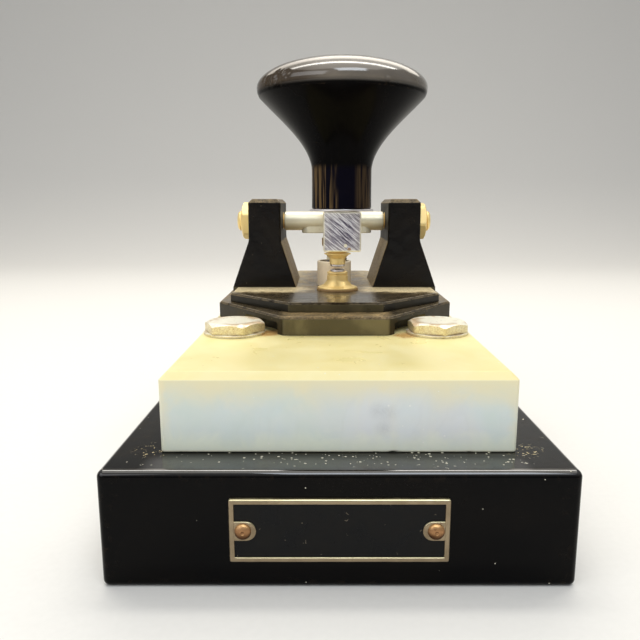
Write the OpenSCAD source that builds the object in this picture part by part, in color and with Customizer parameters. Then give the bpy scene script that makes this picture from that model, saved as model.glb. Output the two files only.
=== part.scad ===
// Straight telegraph key: a black moulded base with a marble slab on it, a cast frame with two
// pivot posts, and a lever with a black knob that rocks between pivot screws.
// Origin: middle of the base's underside. +X right, +Y away from the operator, +Z up. Millimetres.

/* [Base] */
// Width of the moulded base
base_w = 86; // [84:0.5:96]
// Depth of the moulded base, front to back
base_d = 155; // [150:1:172]
// Height of the moulded base
base_h = 22.3; // [20:0.1:28]
// Wall thickness of the base's four sides
base_wall = 4; // [3.5:0.25:5]
// Thickness of the base's top wall
base_top_t = 5; // [4:0.25:6]
// Radius of the base's rounded edges
base_edge_r = 1.4; // [0.8:0.1:2]
// Thickness of the fibre cover under the base
cover_t = 2; // [1.5:0.1:2.8]
// Width of the rim that shows round the cover
cover_rim = 2.5; // [2:0.1:3]
// Diameter of the corner pillars that take the cover screws
pillar_d = 8; // [7:0.25:9]
// Thread diameter of the cover screws
cover_screw_d = 3; // [2.5:0.1:3.5]
// Length of the cover screws
cover_screw_len = 9; // [7:0.5:11]

/* [Nameplate] */
// Width of the nameplate
plate_w = 39.2; // [36:0.1:42]
// Height of the nameplate
plate_h = 12; // [10:0.1:14]
// Height of the nameplate's middle above the underside of the base
plate_z = 11.4; // [9.5:0.1:12]
// Thickness of the nameplate's sunk field
plate_field_t = 0.5; // [0.3:0.05:0.8]
// Height of the raised border and rivet lands over the field
plate_relief = 0.3; // [0.2:0.05:0.5]
// Width of the raised border
plate_border = 0.95; // [0.7:0.05:1.3]
// Length of the lands that the rivets go through
land_len = 3.9; // [3.7:0.1:4.3]
// Height of the lands that the rivets go through
land_h = 3.65; // [3.4:0.05:4.2]
// Distance of each rivet from the middle of the nameplate
rivet_x = 17.1; // [16.9:0.05:17.4]
// Diameter of the rivet heads
rivet_d = 3; // [2.6:0.1:3.3]
// Height of the rivets' domed heads
rivet_dome = 0.8; // [0.5:0.05:1]

/* [Marble slab] */
// Width of the marble slab
slab_w = 67; // [66:0.2:76]
// Depth of the marble slab, front to back
slab_d = 137.4; // [134:0.2:146]
// Thickness of the marble slab
slab_t = 15.4; // [12:0.2:20]
// Chamfer along the slab's top edges
slab_chamfer = 1.4; // [0.8:0.1:2]

/* [Slab bolts] */
// Distance of each slab bolt and terminal from the middle plane
corner_x = 24.4; // [23.4:0.1:25.4]
// Distance of the slab bolts and terminals before and behind the frame's middle
corner_y = 41.8; // [41:0.1:44]
// Thread diameter of the slab bolts
bolt_d = 8; // [6:0.5:8.5]
// Distance across the flats of the slab bolts' heads and nuts
bolt_af = 13; // [12:0.1:14]
// Height of the slab bolts' low heads
bolt_head_h = 2.4; // [2:0.1:3]
// Height of the nuts under the slab bolts
bolt_nut_h = 5; // [4:0.1:6]
// Turn of the left bolt head about its own axis, in degrees
bolt_turn_left = 23; // [0:1:59]
// Turn of the right bolt head about its own axis, in degrees
bolt_turn_right = 5; // [0:1:59]
// Diameter of the washers under the bolt heads
bolt_washer_d = 14.8; // [14.5:0.1:16]
// Thickness of the washers under the bolt heads
bolt_washer_t = 0.6; // [0.4:0.05:1]

/* [Cast frame] */
// Distance of the frame's middle behind the middle of the base
frame_y = 10.5; // [8:0.25:12]
// Half the length of the frame's lower tier
lower_half_len = 45.4; // [44.5:0.1:47]
// Half the width of the lower tier
lower_half_w = 31.7; // [31:0.1:32.5]
// Width of the flat at each end of the lower tier
lower_flat_w = 25; // [23:0.2:25.4]
// Half the length of the straight sides of the lower tier
lower_side_half = 20; // [19:0.1:21.5]
// Height of the lower tier
lower_tier_h = 4.4; // [4.2:0.1:6]
// Half the length of the frame's upper tier
upper_half_len = 38.4; // [37.6:0.1:40]
// Half the width of the upper tier
upper_half_w = 28.4; // [28:0.1:29.5]
// Width of the flat at each end of the upper tier
upper_flat_w = 23.4; // [21:0.2:24]
// Half the length of the straight sides of the upper tier
upper_side_half = 21; // [20:0.1:21.5]
// Height of the upper tier
upper_tier_h = 2.4; // [1.8:0.1:3]
// Rounding of the lower tier's corners in plan
lower_corner_r = 2; // [1.2:0.1:2.4]
// Rounding of the upper tier's corners in plan
upper_corner_r = 1; // [0.8:0.1:1.6]
// Bevel along the frame's upper edges
frame_bevel = 0.5; // [0.3:0.05:0.7]
// Radius of the pockets under the frame that clear the corner fixings
relief_r = 10.6; // [9:0.1:11]
// Height of the pockets under the frame
relief_h = 2.9; // [2.5:0.1:3.4]

/* [Pivot posts] */
// Distance between the posts' inner faces at the pivot
post_gap = 30.6; // [30:0.2:32]
// Thickness of each post at the top
post_t = 9.3; // [8.6:0.05:10]
// Distance between the posts' inner faces at the foot
foot_gap = 22; // [20:0.2:24]
// Thickness of each post at the foot
foot_t = 18.4; // [17:0.1:19.5]
// Depth of the posts, front to back
post_d = 26; // [22:0.2:28]
// Height of the posts over the upper tier
post_h = 25.2; // [24.8:0.1:28]
// Height of the posts' flared lower part
flare_h = 13.4; // [12:0.1:14]
// Bevel round the tops of the posts
post_bevel = 1.1; // [0.5:0.1:1.2]
// Distance of the pivot axis behind the frame's middle
pivot_y = 3.8; // [3:0.1:5]
// Height of the pivot axis over the upper tier
pivot_rise = 18.7; // [18.2:0.1:19.5]

/* [Pivot] */
// Diameter of the trunnions that carry the lever
trunnion_d = 5.6; // [5.6:0.1:6.4]
// Diameter of the trunnions' spigots in the lever
spigot_d = 4; // [3:0.1:4.4]
// Length of the foot under each trunnion, from the lever's side
trunnion_foot_len = 6.8; // [5:0.1:7]
// Width of that foot, front to back
trunnion_foot_w = 4.6; // [4:0.1:5]
// Depth of that foot under the pivot axis
trunnion_foot_drop = 3.6; // [3.2:0.1:3.8]
// End play between a trunnion and its post
trunnion_end_gap = 0.35; // [0.2:0.05:0.5]
// Diameter of the pivot screws
pivot_screw_d = 6; // [5:0.1:6.4]
// Length of a pivot screw's cone
pivot_cone_len = 2.6; // [2:0.1:3]
// Distance across the flats of the pivot lock nuts
pivot_nut_af = 10; // [9.4:0.1:11]
// Thickness of the pivot lock nuts
pivot_nut_t = 3; // [2.5:0.1:3.6]
// Lean of the left lock nut's upper corner towards the operator, in degrees
pivot_nut_lean_left = 12; // [0:1:59]
// Lean of the right lock nut's upper corner towards the operator, in degrees
pivot_nut_lean_right = 36; // [0:1:59]
// Length of the domed screw end outside its lock nut
pivot_end_len = 1.8; // [1.6:0.1:3]

/* [Lever] */
// Distance of the lever to the right of the middle plane, as its pivot screws set it
lever_x = 0.8; // [0:0.1:1.1]
// Width of the lever bar
lever_w = 7.5; // [7:0.05:8]
// Height of the lever bar
lever_h = 7.8; // [7.4:0.1:8.4]
// Height of the lever bar's middle over the pivot axis
lever_rise = -0.3; // [-0.4:0.05:0.2]
// Reach of the lever before the pivot axis
lever_front = 70.1; // [68:0.1:76]
// Reach of the lever behind the pivot axis
lever_back = 32.7; // [31.5:0.1:36]

/* [Knob] */
// Distance of the knob's axis before the pivot axis
knob_reach = 62.8; // [60:0.1:63.5]
// Largest diameter of the knob
knob_d = 34; // [30:0.5:40]
// Diameter of the knob's stem
knob_stem_d = 12.2; // [11:0.1:13]
// Height of the knob over its washer
knob_h = 29.2; // [28:0.1:34]
// Height of the knob's dome over its widest point
knob_dome_h = 5.8; // [5:0.1:8]
// Height of the rounded side between the rim edge and the widest point
knob_rim_h = 1.5; // [1:0.1:2]
// Height of the straight part of the stem
knob_stem_h = 7.5; // [6:0.1:8.5]
// Diameter of the washer under the stem
knob_washer_d = 13.1; // [12.8:0.1:14]
// Thickness of the washer under the stem
knob_washer_t = 0.5; // [0.4:0.05:0.8]
// Thread diameter of the knob screw
knob_screw_d = 4; // [3.5:0.1:4.5]
// Length of the knob screw's thread inside the knob
knob_screw_grip = 11; // [9:0.5:13]

/* [Contacts] */
// Distance of the contacts before the pivot axis
contact_reach = 18.2; // [17.6:0.1:20]
// Opening between the contacts at rest
contact_gap = 0.55; // [0.55:0.05:0.9]
// Distance from the lever's underside down to the hammer's tip
hammer_drop = 8; // [7.8:0.1:8.6]
// Diameter of the hammer's threaded shank
hammer_shank_d = 4; // [3.6:0.1:4.4]
// Diameter of the hammer's flange
hammer_flange_d = 7.4; // [6.8:0.1:8]
// Diameter of the silver contact tips
tip_d = 4; // [3.4:0.1:4.2]
// Thickness of the silver contact tips
tip_t = 0.7; // [0.5:0.05:0.9]
// Diameter of the anvil's flange
anvil_flange_d = 11; // [10:0.1:12]
// Diameter of the anvil's neck
anvil_neck_d = 5.8; // [5:0.1:6.2]
// Diameter of the anvil's stud
anvil_stud_d = 5; // [4.4:0.1:5.4]
// Outer diameter of the insulating bush's sleeve
bush_d = 8; // [7.2:0.1:8.6]
// Thickness of the insulating bush's flange
bush_flange_t = 0.5; // [0.4:0.05:0.7]

/* [Return spring] */
// Distance of the spring's axis before the pivot axis
spring_reach = 7.3; // [7.1:0.1:7.6]
// Outer diameter of the cup that holds the spring
cup_d = 10; // [9.8:0.1:10.4]
// Wall thickness of the spring cup
cup_wall = 0.75; // [0.6:0.05:0.8]
// Height of the spring cup
cup_h = 7.3; // [6:0.1:8]
// Thickness of the spring cup's floor
cup_floor_t = 1.8; // [1.4:0.1:2.2]
// Wire diameter of the spring
wire_d = 0.8; // [0.7:0.05:0.85]
// Mean diameter of the spring's coils
coil_d = 5.2; // [5:0.05:5.3]
// Rise of the spring in one turn
coil_pitch = 1.45; // [1.4:0.05:1.8]

/* [Adjusting screws] */
// Diameter of the spring screw
spring_screw_d = 5; // [4.4:0.1:5.4]
// Diameter of the spring screw's foot
foot_d = 7; // [6.4:0.1:7.4]
// Thickness of the spring screw's foot
foot_plate_t = 1; // [0.8:0.05:1.2]
// Distance from the lever's underside down to the foot
foot_drop = 1.8; // [1.6:0.05:2]
// Distance of the gap screw behind the pivot axis
gap_screw_back = 27.2; // [26:0.1:28]
// Diameter of the gap screw
gap_screw_d = 4; // [3.6:0.1:4.6]
// Diameter of the knurled heads
head_d = 11; // [9.6:0.2:12.4]
// Height of the knurled heads
head_h = 5; // [4:0.1:6]
// Distance from the lever's top up to the knurled heads
head_rise = 4.7; // [4.5:0.1:6]
// Length of screw that shows above a knurled head
head_end_len = 1.2; // [0.8:0.1:2]
// Distance across the flats of the lock nuts on the lever
lever_nut_af = 8; // [7.4:0.1:8.8]
// Thickness of the lock nuts on the lever
lever_nut_t = 2.4; // [2:0.1:2.6]
// Height of the back stop over the upper tier
stop_h = 5.8; // [5:0.1:7]
// Diameter of the back stop
stop_d = 6; // [5.4:0.1:7]

/* [Terminals] */
// Diameter of the terminal studs
stud_d = 4; // [3.6:0.1:4.6]
// Diameter of the collar that seats each stud on the slab
collar_d = 9.6; // [9:0.1:10.4]
// Height of that collar
collar_h = 2.4; // [2:0.1:2.8]
// Diameter of the loose washer under a thumb nut
wire_washer_d = 9; // [8.4:0.1:9.6]
// Thickness of the loose washer under a thumb nut
wire_washer_t = 0.8; // [0.6:0.05:1]
// Diameter of the knurled thumb nuts
thumb_nut_d = 11; // [10:0.2:12]
// Height of the knurled thumb nuts
thumb_nut_h = 7.5; // [6:0.1:9]
// Length of stud that shows above a thumb nut
stud_end_len = 5.4; // [4.5:0.1:7]
// Distance across the flats of the nuts under the terminals and the anvil
small_nut_af = 8; // [7.6:0.1:9]
// Thickness of the nuts under the terminals and the anvil
small_nut_t = 3.2; // [2.6:0.1:4]
// Diameter of the bolts that hold the frame
frame_bolt_d = 5; // [4:0.1:5.6]
// Distance of the frame bolts from the middle plane
frame_bolt_x = 20; // [19:0.1:21]
// Height of the frame bolts' heads
frame_bolt_head_h = 3.4; // [3:0.1:4]
// Reach of the frame bolts into the posts
frame_bolt_grip = 8; // [6:0.5:10]
// Width of the brass straps inside the base
strap_w = 9; // [8.2:0.1:10]
// Thickness of the brass straps inside the base
strap_t = 0.8; // [0.5:0.05:1]

/* [Fits] */
// Radial clearance of a screw or pin in its own hole
fit = 0.05; // [0.03:0.01:0.08]
// Radial clearance of a bolt or stud in the slab and the base
bolt_clear = 0.3; // [0.2:0.05:0.5]
// Clearance round the cover and between the spring and its foot
play = 0.2; // [0.15:0.05:0.25]

/* [Hidden] */
$fn = 64;
eps = 0.01;
knurl_count = 36;
knurl_depth = 0.35;
hex_bevel_deg = 30;
turned_c = 0.4;
lever_bevel = 0.35;
peg_d = 4;
cone_base = 0.7;
cone_end = 0.1;
spring_sides = 6;
spring_rings = 8;

brass = "#c9a24a";
nickel = "#b9b4a8";
steel = "#9a9a98";
silver = "#d9d9d6";
black = "#17171a";
fibre = "#5a3d26";

cavity_top = base_h - base_top_t;
slab_top = base_h + slab_t;
peg_bottom = slab_top + 1;
lower_top = slab_top + lower_tier_h;
upper_top = lower_top + upper_tier_h;
pivot_z = upper_top + pivot_rise;
post_top = upper_top + post_h;
lever_top = pivot_z + lever_rise + lever_h / 2;
lever_bottom = lever_top - lever_h;
axle_y = frame_y + pivot_y;
knob_y = axle_y - knob_reach;
contact_y = axle_y - contact_reach;
spring_y = axle_y - spring_reach;
gap_y = axle_y + gap_screw_back;
front_corner_y = frame_y - corner_y;
back_corner_y = frame_y + corner_y;
base_front = -base_d / 2;
plate_face = base_front - plate_field_t - plate_relief;

pillar_x = base_w / 2 - base_wall - pillar_d / 2 + 1;
pillar_y = base_d / 2 - base_wall - pillar_d / 2 + 1;
land_x = plate_w / 2 - plate_border - land_len + land_h / 2;

hammer_tip_z = lever_bottom - hammer_drop;
anvil_top = hammer_tip_z - contact_gap;
anvil_seat = upper_top + bush_flange_t;
strap_bottom = cavity_top - strap_t;

cup_floor = upper_top + cup_floor_t;
foot_top = lever_bottom - foot_drop;
foot_bottom = foot_top - foot_plate_t;
spring_top = foot_bottom - play;
stop_top = upper_top + stop_h;
heads_bottom = lever_top + head_rise;

terminal_washer_z = slab_top + collar_h;
thumb_nut_z = terminal_washer_z + wire_washer_t;
stud_top = thumb_nut_z + thumb_nut_h + stud_end_len;

left_trunnion_len = post_gap / 2 - trunnion_end_gap + lever_x - lever_w / 2;
right_trunnion_len = post_gap / 2 - trunnion_end_gap - lever_x - lever_w / 2;

// Shared shapes

// A copy on each side of the middle plane
module both_sides(x, y, z) {
    for (s = [-1, 1])
        translate([s * x, y, z]) children();
}

// A hexagonal prism of width af across its flats, bevelled at its upper end
module hex(af, h, turn = 0) {
    corner_r = af / 2 / cos(30);
    bevel_h = (corner_r - af / 2 * 0.96) * tan(hex_bevel_deg);
    rotate([0, 0, turn])
        intersection() {
            cylinder(r = corner_r, h = h, $fn = 6);
            union() {
                cylinder(r = corner_r + 1, h = h - bevel_h);
                translate([0, 0, h - bevel_h])
                    cylinder(r1 = corner_r, r2 = af / 2 * 0.96, h = bevel_h);
            }
        }
}

// A hexagonal nut with its bore
module hex_nut(af, h, bore_r, turn = 0) {
    difference() {
        hex(af, h, turn);
        translate([0, 0, -1]) cylinder(r = bore_r, h = h + 2);
    }
}

// A flat ring
module ring(outer_r, inner_r, h) {
    difference() {
        cylinder(r = outer_r, h = h);
        translate([0, 0, -1]) cylinder(r = inner_r, h = h + 2);
    }
}

// A knurled drum between two plain collars, with a bore
module knurled_drum(d, h, bore_r) {
    band_h = h * 0.6;
    collar_r = d / 2 - 2 * knurl_depth;
    points = [for (i = [0 : 2 * knurl_count - 1])
        let (r = d / 2 - (i % 2) * knurl_depth, a = i * 180 / knurl_count)
        [r * cos(a), r * sin(a)]];
    difference() {
        union() {
            cylinder(r = collar_r, h = h);
            translate([0, 0, (h - band_h) / 2])
                linear_extrude(band_h) polygon(points);
        }
        translate([0, 0, -1]) cylinder(r = bore_r, h = h + 2);
    }
}

// A plate with all four of its upper edges chamfered, made where two profiles cross
module chamfered_slab(w, d, h, c) {
    intersection() {
        translate([0, d / 2, 0]) rotate([90, 0, 0])
            linear_extrude(d) chamfered_profile(w, h, c);
        translate([-w / 2, 0, 0]) rotate([90, 0, 90])
            linear_extrude(w) chamfered_profile(d, h, c);
    }
}

module chamfered_profile(w, h, c) {
    polygon([[-w / 2, 0], [w / 2, 0], [w / 2, h - c], [w / 2 - c, h], [-w / 2 + c, h],
        [-w / 2, h - c]]);
}

// Corners of an eight-sided tier: flats at both ends, straight sides, slanting faces between
function tier_corners(half_len, half_w, flat_w, side_half, inset) =
    [for (sx = [-1, 1], sy = [-1, 1])
        each [[sx * (flat_w / 2 - inset * 0.4), sy * (half_len - inset)],
            [sx * (half_w - inset), sy * (side_half - inset * 0.4)]]];

// One tier of the frame, with rounded corners and a bevelled upper edge
module tier(half_len, half_w, flat_w, side_half, h, corner_r) {
    hull()
        for (p = tier_corners(half_len, half_w, flat_w, side_half, corner_r))
            translate([p.x, p.y, 0]) {
                cylinder(r = corner_r, h = h - frame_bevel, $fn = 24);
                cylinder(r = corner_r - frame_bevel, h = h, $fn = 24);
            }
}

// Base

module base_outline() {
    hull()
        for (sx = [-1, 1], sy = [-1, 1])
            translate([sx * (base_w / 2 - base_edge_r), sy * (base_d / 2 - base_edge_r), 0]) {
                translate([0, 0, base_h - base_edge_r]) sphere(r = base_edge_r, $fn = 24);
                translate([0, 0, base_edge_r]) sphere(r = base_edge_r, $fn = 24);
            }
}

module at_pillars(z) {
    for (sx = [-1, 1], sy = [-1, 1])
        translate([sx * pillar_x, sy * pillar_y, z]) children();
}

module base() {
    cavity_w = base_w - 2 * base_wall;
    cavity_d = base_d - 2 * base_wall;
    pocket_w = base_w - 2 * cover_rim;
    pocket_d = base_d - 2 * cover_rim;
    color(black)
        difference() {
            base_outline();
            difference() {
                translate([-cavity_w / 2, -cavity_d / 2, -1])
                    cube([cavity_w, cavity_d, cavity_top + 1]);
                at_pillars(-2) cylinder(d = pillar_d, h = cavity_top + 3);
            }
            translate([-pocket_w / 2, -pocket_d / 2, -1])
                cube([pocket_w, pocket_d, cover_t + 1]);
            at_pillars(-1) cylinder(d = cover_screw_d + 2 * fit, h = cover_screw_len + 2);
            both_sides(corner_x, front_corner_y, 0)
                cylinder(r = bolt_d / 2 + bolt_clear, h = base_h + 1);
            both_sides(corner_x, back_corner_y, 0)
                cylinder(r = stud_d / 2 + bolt_clear, h = base_h + 1);
            both_sides(frame_bolt_x, axle_y, 0)
                cylinder(r = frame_bolt_d / 2 + bolt_clear, h = base_h + 1);
            translate([lever_x, contact_y, 0])
                cylinder(r = anvil_stud_d / 2 + bolt_clear, h = base_h + 1);
            both_sides(rivet_x, base_front - 1, plate_z) rotate([-90, 0, 0])
                cylinder(r = rivet_d / 4 + fit, h = base_wall);
        }
}

module base_cover() {
    w = base_w - 2 * cover_rim - 2 * play;
    d = base_d - 2 * cover_rim - 2 * play;
    color(fibre)
        difference() {
            translate([-w / 2, -d / 2, 0]) cube([w, d, cover_t]);
            at_pillars(-1) cylinder(r = cover_screw_d / 2 + bolt_clear, h = cover_t + 2);
            at_pillars(-eps)
                cylinder(r1 = cover_screw_d + fit, r2 = cover_screw_d / 2, h = cover_screw_d / 2);
        }
}

module cover_screws() {
    slot_w = cover_screw_d * 0.25;
    color(steel)
        at_pillars(0)
            difference() {
                union() {
                    cylinder(r1 = cover_screw_d, r2 = cover_screw_d / 2, h = cover_screw_d / 2);
                    cylinder(d = cover_screw_d, h = cover_screw_len);
                }
                translate([-cover_screw_d, -slot_w / 2, -1])
                    cube([2 * cover_screw_d, slot_w, 1 + cover_screw_d * 0.2]);
            }
}

// A land for a rivet: straight at the border, round towards the middle of the plate
module land() {
    circle(d = land_h);
    translate([0, -land_h / 2]) square([plate_w / 2 - plate_border / 2 - land_x, land_h]);
}

module nameplate() {
    field_w = plate_w - 2 * plate_border;
    field_h = plate_h - 2 * plate_border;
    color(nickel)
        translate([0, base_front, plate_z]) rotate([90, 0, 0])
            difference() {
                translate([-plate_w / 2, -plate_h / 2, 0])
                    cube([plate_w, plate_h, plate_field_t + plate_relief]);
                translate([0, 0, plate_field_t])
                    linear_extrude(plate_relief + 1)
                        difference() {
                            square([field_w, field_h], center = true);
                            for (turn = [0, 180])
                                rotate(turn) translate([land_x, 0]) land();
                        }
                both_sides(rivet_x, 0, -1) cylinder(r = rivet_d / 4 + fit, h = 3);
            }
}

// A domed rivet with its shank in the base
module rivet() {
    shank_len = plate_field_t + plate_relief + base_wall - 1.5;
    steps = 6;
    dome = [for (i = [0 : steps]) [rivet_d / 2 * cos(90 * i / steps),
        rivet_dome * sin(90 * i / steps)]];
    rotate_extrude()
        polygon(concat([[0, -shank_len], [rivet_d / 4, -shank_len], [rivet_d / 4, 0]],
            [for (p = dome) [max(0, p.x), p.y]]));
}

module nameplate_rivets() {
    color("#9a6248")
        both_sides(rivet_x, plate_face, plate_z) rotate([90, 0, 0]) rivet();
}

// Marble slab and what holds it

module marble_slab() {
    color("#e9e4cf")
        difference() {
            translate([0, 0, base_h]) chamfered_slab(slab_w, slab_d, slab_t, slab_chamfer);
            both_sides(corner_x, front_corner_y, base_h - 1)
                cylinder(r = bolt_d / 2 + bolt_clear, h = slab_t + 2);
            both_sides(corner_x, back_corner_y, base_h - 1)
                cylinder(r = stud_d / 2 + bolt_clear, h = slab_t + 2);
            both_sides(frame_bolt_x, axle_y, base_h - 1)
                cylinder(r = frame_bolt_d / 2 + bolt_clear, h = slab_t + 2);
            translate([lever_x, contact_y, base_h - 1])
                cylinder(r = anvil_stud_d / 2 + bolt_clear, h = slab_t + 2);
        }
}

module slab_bolts() {
    head_z = slab_top + bolt_washer_t;
    tail_z = cavity_top - bolt_nut_h - 1.5;
    color(nickel)
        for (side = [[-1, bolt_turn_left], [1, bolt_turn_right]])
            translate([side[0] * corner_x, front_corner_y, 0]) {
                translate([0, 0, head_z]) hex(bolt_af, bolt_head_h, side[1] - 90);
                translate([0, 0, tail_z]) cylinder(d = bolt_d, h = head_z - tail_z + eps);
            }
}

module slab_washers() {
    color(nickel)
        both_sides(corner_x, front_corner_y, slab_top)
            ring(bolt_washer_d / 2, bolt_d / 2 + fit, bolt_washer_t);
}

module slab_nuts() {
    color(nickel)
        both_sides(corner_x, front_corner_y, cavity_top) mirror([0, 0, 1])
            hex_nut(bolt_af, bolt_nut_h, bolt_d / 2 + fit);
}

// Cast frame

// The right post; the left one is its mirror image
module post() {
    top_x = post_gap / 2;
    foot_x = foot_gap / 2;
    c = frame_bevel;
    y0 = axle_y - post_d / 2;
    flare_top = upper_top + flare_h;
    b = post_bevel;
    // Upper block
    hull() {
        translate([top_x, y0 + c, flare_top - eps])
            cube([post_t, post_d - 2 * c, post_top - b - flare_top + eps]);
        translate([top_x + c, y0, flare_top - eps])
            cube([post_t - 2 * c, post_d, post_top - b - flare_top + eps]);
        translate([top_x + b, y0 + b, flare_top])
            cube([post_t - 2 * b, post_d - 2 * b, post_top - flare_top]);
    }
    // Flared foot, which runs down over the side of the upper tier
    hull() {
        translate([top_x, y0 + c, flare_top - eps]) cube([post_t, post_d - 2 * c, eps]);
        translate([top_x + c, y0, flare_top - eps]) cube([post_t - 2 * c, post_d, eps]);
        translate([foot_x, y0 + c, upper_top - eps]) cube([foot_t, post_d - 2 * c, eps]);
        translate([foot_x + c, y0, upper_top - eps]) cube([foot_t - 2 * c, post_d, eps]);
    }
}

module key_frame() {
    foot_x = foot_gap / 2;
    side_x = foot_x + foot_t;
    color(black)
        difference() {
            union() {
                translate([0, frame_y, slab_top])
                    tier(lower_half_len, lower_half_w, lower_flat_w, lower_side_half, lower_tier_h,
                        lower_corner_r);
                translate([0, frame_y, lower_top - eps])
                    tier(upper_half_len, upper_half_w, upper_flat_w, upper_side_half,
                        upper_tier_h + eps, upper_corner_r);
                for (s = [0, 1])
                    mirror([s, 0, 0]) {
                        post();
                        // Block that closes the post's foot down to the lower tier
                        translate([foot_x + 1, axle_y - post_d / 2 + frame_bevel, lower_top - eps])
                            cube([side_x - foot_x - 1, post_d - 2 * frame_bevel,
                                upper_tier_h + eps]);
                    }
            }
            // Pockets round the corner fixings
            for (y = [front_corner_y, back_corner_y])
                both_sides(corner_x, y, slab_top - 1) cylinder(r = relief_r, h = relief_h + 1);
            // Pivot screw holes
            translate([-base_w / 2, axle_y, pivot_z]) rotate([0, 90, 0])
                cylinder(r = pivot_screw_d / 2 + fit, h = base_w);
            // Spot faces that seat the pivot lock nuts where the flare would lift them
            for (s = [-1, 1])
                translate([s * (post_gap / 2 + post_t), axle_y, pivot_z]) rotate([0, s * 90, 0])
                    cylinder(r = pivot_nut_af / 2 / cos(30) + bolt_clear, h = foot_t);
            // Blind holes for the frame bolts
            both_sides(frame_bolt_x, axle_y, slab_top - 1)
                cylinder(r = frame_bolt_d / 2 + fit,
                    h = upper_top - slab_top + frame_bolt_grip + 1.5);
            translate([lever_x, contact_y, slab_top - 1])
                cylinder(r = bush_d / 2 + fit, h = upper_top - slab_top + 2);
            translate([0, spring_y, slab_top - 1])
                cylinder(r = peg_d / 2 + fit, h = upper_top - slab_top + 2);
            translate([lever_x, gap_y, slab_top - 1])
                cylinder(r = peg_d / 2 + fit, h = upper_top - slab_top + 2);
        }
}

module frame_bolts() {
    shank_top = upper_top + frame_bolt_grip;
    color(steel)
        both_sides(frame_bolt_x, axle_y, 0) {
            translate([0, 0, strap_bottom]) mirror([0, 0, 1]) hex(small_nut_af, frame_bolt_head_h);
            translate([0, 0, strap_bottom - eps])
                cylinder(d = frame_bolt_d, h = shank_top - strap_bottom);
        }
}

module frame_bolt_washer() {
    color(steel)
        translate([frame_bolt_x, axle_y, strap_bottom])
            ring(strap_w / 2, frame_bolt_d / 2 + fit, strap_t);
}

// Pivot

// A screw with a cone at its inner end and a slotted dome at its outer end, along +Z
module pivot_screw() {
    r = pivot_screw_d / 2;
    body_len = post_t + pivot_nut_t + pivot_end_len;
    tip = pivot_cone_len + trunnion_end_gap;
    dome_h = 1;
    difference() {
        rotate_extrude()
            polygon([[0, -tip], [r * cone_end, -tip], [r * cone_base, -trunnion_end_gap],
                [r * cone_base, -0.1], [r, 0.1], [r, body_len - dome_h],
                [r * 0.87, body_len - dome_h * 0.5], [r * 0.5, body_len - dome_h * 0.1],
                [0, body_len]]);
        translate([-r - 1, -0.4, body_len - 1.4]) cube([2 * r + 2, 0.8, 2]);
    }
}

module pivot_screws() {
    color(brass)
        for (s = [-1, 1])
            translate([s * post_gap / 2, axle_y, pivot_z]) rotate([0, s * 90, 0]) pivot_screw();
}

module pivot_lock_nuts() {
    color(brass)
        for (side = [[-1, -pivot_nut_lean_left], [1, pivot_nut_lean_right]])
            translate([side[0] * (post_gap / 2 + post_t), axle_y, pivot_z])
                rotate([0, side[0] * 90, 0])
                    hex_nut(pivot_nut_af, pivot_nut_t, pivot_screw_d / 2 + fit, side[1]);
}

// A trunnion along +Z: a spigot below its origin, a drum above it, a cone-shaped socket at its end
module trunnion(len) {
    r = trunnion_d / 2;
    mouth_r = pivot_screw_d / 2 * cone_base + fit;
    end_r = pivot_screw_d / 2 * cone_end + fit;
    socket_floor = len - pivot_cone_len - 2 * fit;
    spigot_len = lever_w / 2 - 0.3;
    rotate_extrude()
        polygon([[0, -spigot_len], [spigot_d / 2, -spigot_len], [spigot_d / 2, 0], [r, 0],
            [r, len - turned_c], [r - turned_c, len], [mouth_r, len], [end_r, socket_floor],
            [0, socket_floor]]);
}

// Foot with a round end that stands out under a trunnion, on the side s of the lever
module trunnion_foot(s) {
    straight_len = trunnion_foot_len - trunnion_foot_w / 2;
    translate([lever_x + s * lever_w / 2, axle_y, pivot_z - trunnion_foot_drop])
        mirror([s < 0 ? 1 : 0, 0, 0])
            linear_extrude(trunnion_foot_drop - 1) {
                translate([0, -trunnion_foot_w / 2]) square([straight_len, trunnion_foot_w]);
                translate([straight_len, 0]) circle(d = trunnion_foot_w);
            }
}

module trunnion_left() {
    color(nickel) {
        translate([lever_x - lever_w / 2, axle_y, pivot_z]) rotate([0, -90, 0])
            trunnion(left_trunnion_len);
        trunnion_foot(-1);
    }
}

module trunnion_right() {
    color(nickel) {
        translate([lever_x + lever_w / 2, axle_y, pivot_z]) rotate([0, 90, 0])
            trunnion(right_trunnion_len);
        trunnion_foot(1);
    }
}

// Lever

// A rectangle round the origin with bevelled corners
module bevelled_rectangle(w, h, c) {
    x = w / 2;
    y = h / 2;
    polygon([[-x, c - y], [c - x, -y], [x - c, -y], [x, c - y], [x, y - c], [x - c, y], [c - x, y],
        [-x, y - c]]);
}

module lever_bar() {
    color(nickel)
        difference() {
            translate([lever_x, axle_y + lever_back, lever_bottom + lever_h / 2])
                rotate([90, 0, 0])
                    linear_extrude(lever_front + lever_back)
                        bevelled_rectangle(lever_w, lever_h, lever_bevel);
            translate([lever_x - lever_w, axle_y, pivot_z]) rotate([0, 90, 0])
                cylinder(r = spigot_d / 2 + fit, h = 2 * lever_w);
            translate([lever_x, knob_y, lever_bottom - 1])
                cylinder(r = knob_screw_d / 2 + fit, h = lever_h + 2);
            translate([lever_x, knob_y, lever_bottom - eps])
                cylinder(r1 = knob_screw_d * 0.85 + fit, r2 = knob_screw_d / 2 + fit,
                    h = knob_screw_d * 0.4);
            translate([lever_x, contact_y, lever_bottom - 1])
                cylinder(r = hammer_shank_d / 2 + fit, h = lever_h + 2);
            translate([lever_x, spring_y, lever_bottom - 1])
                cylinder(r = spring_screw_d / 2 + fit, h = lever_h + 2);
            translate([lever_x, gap_y, lever_bottom - 1])
                cylinder(r = gap_screw_d / 2 + fit, h = lever_h + 2);
        }
}

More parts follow.
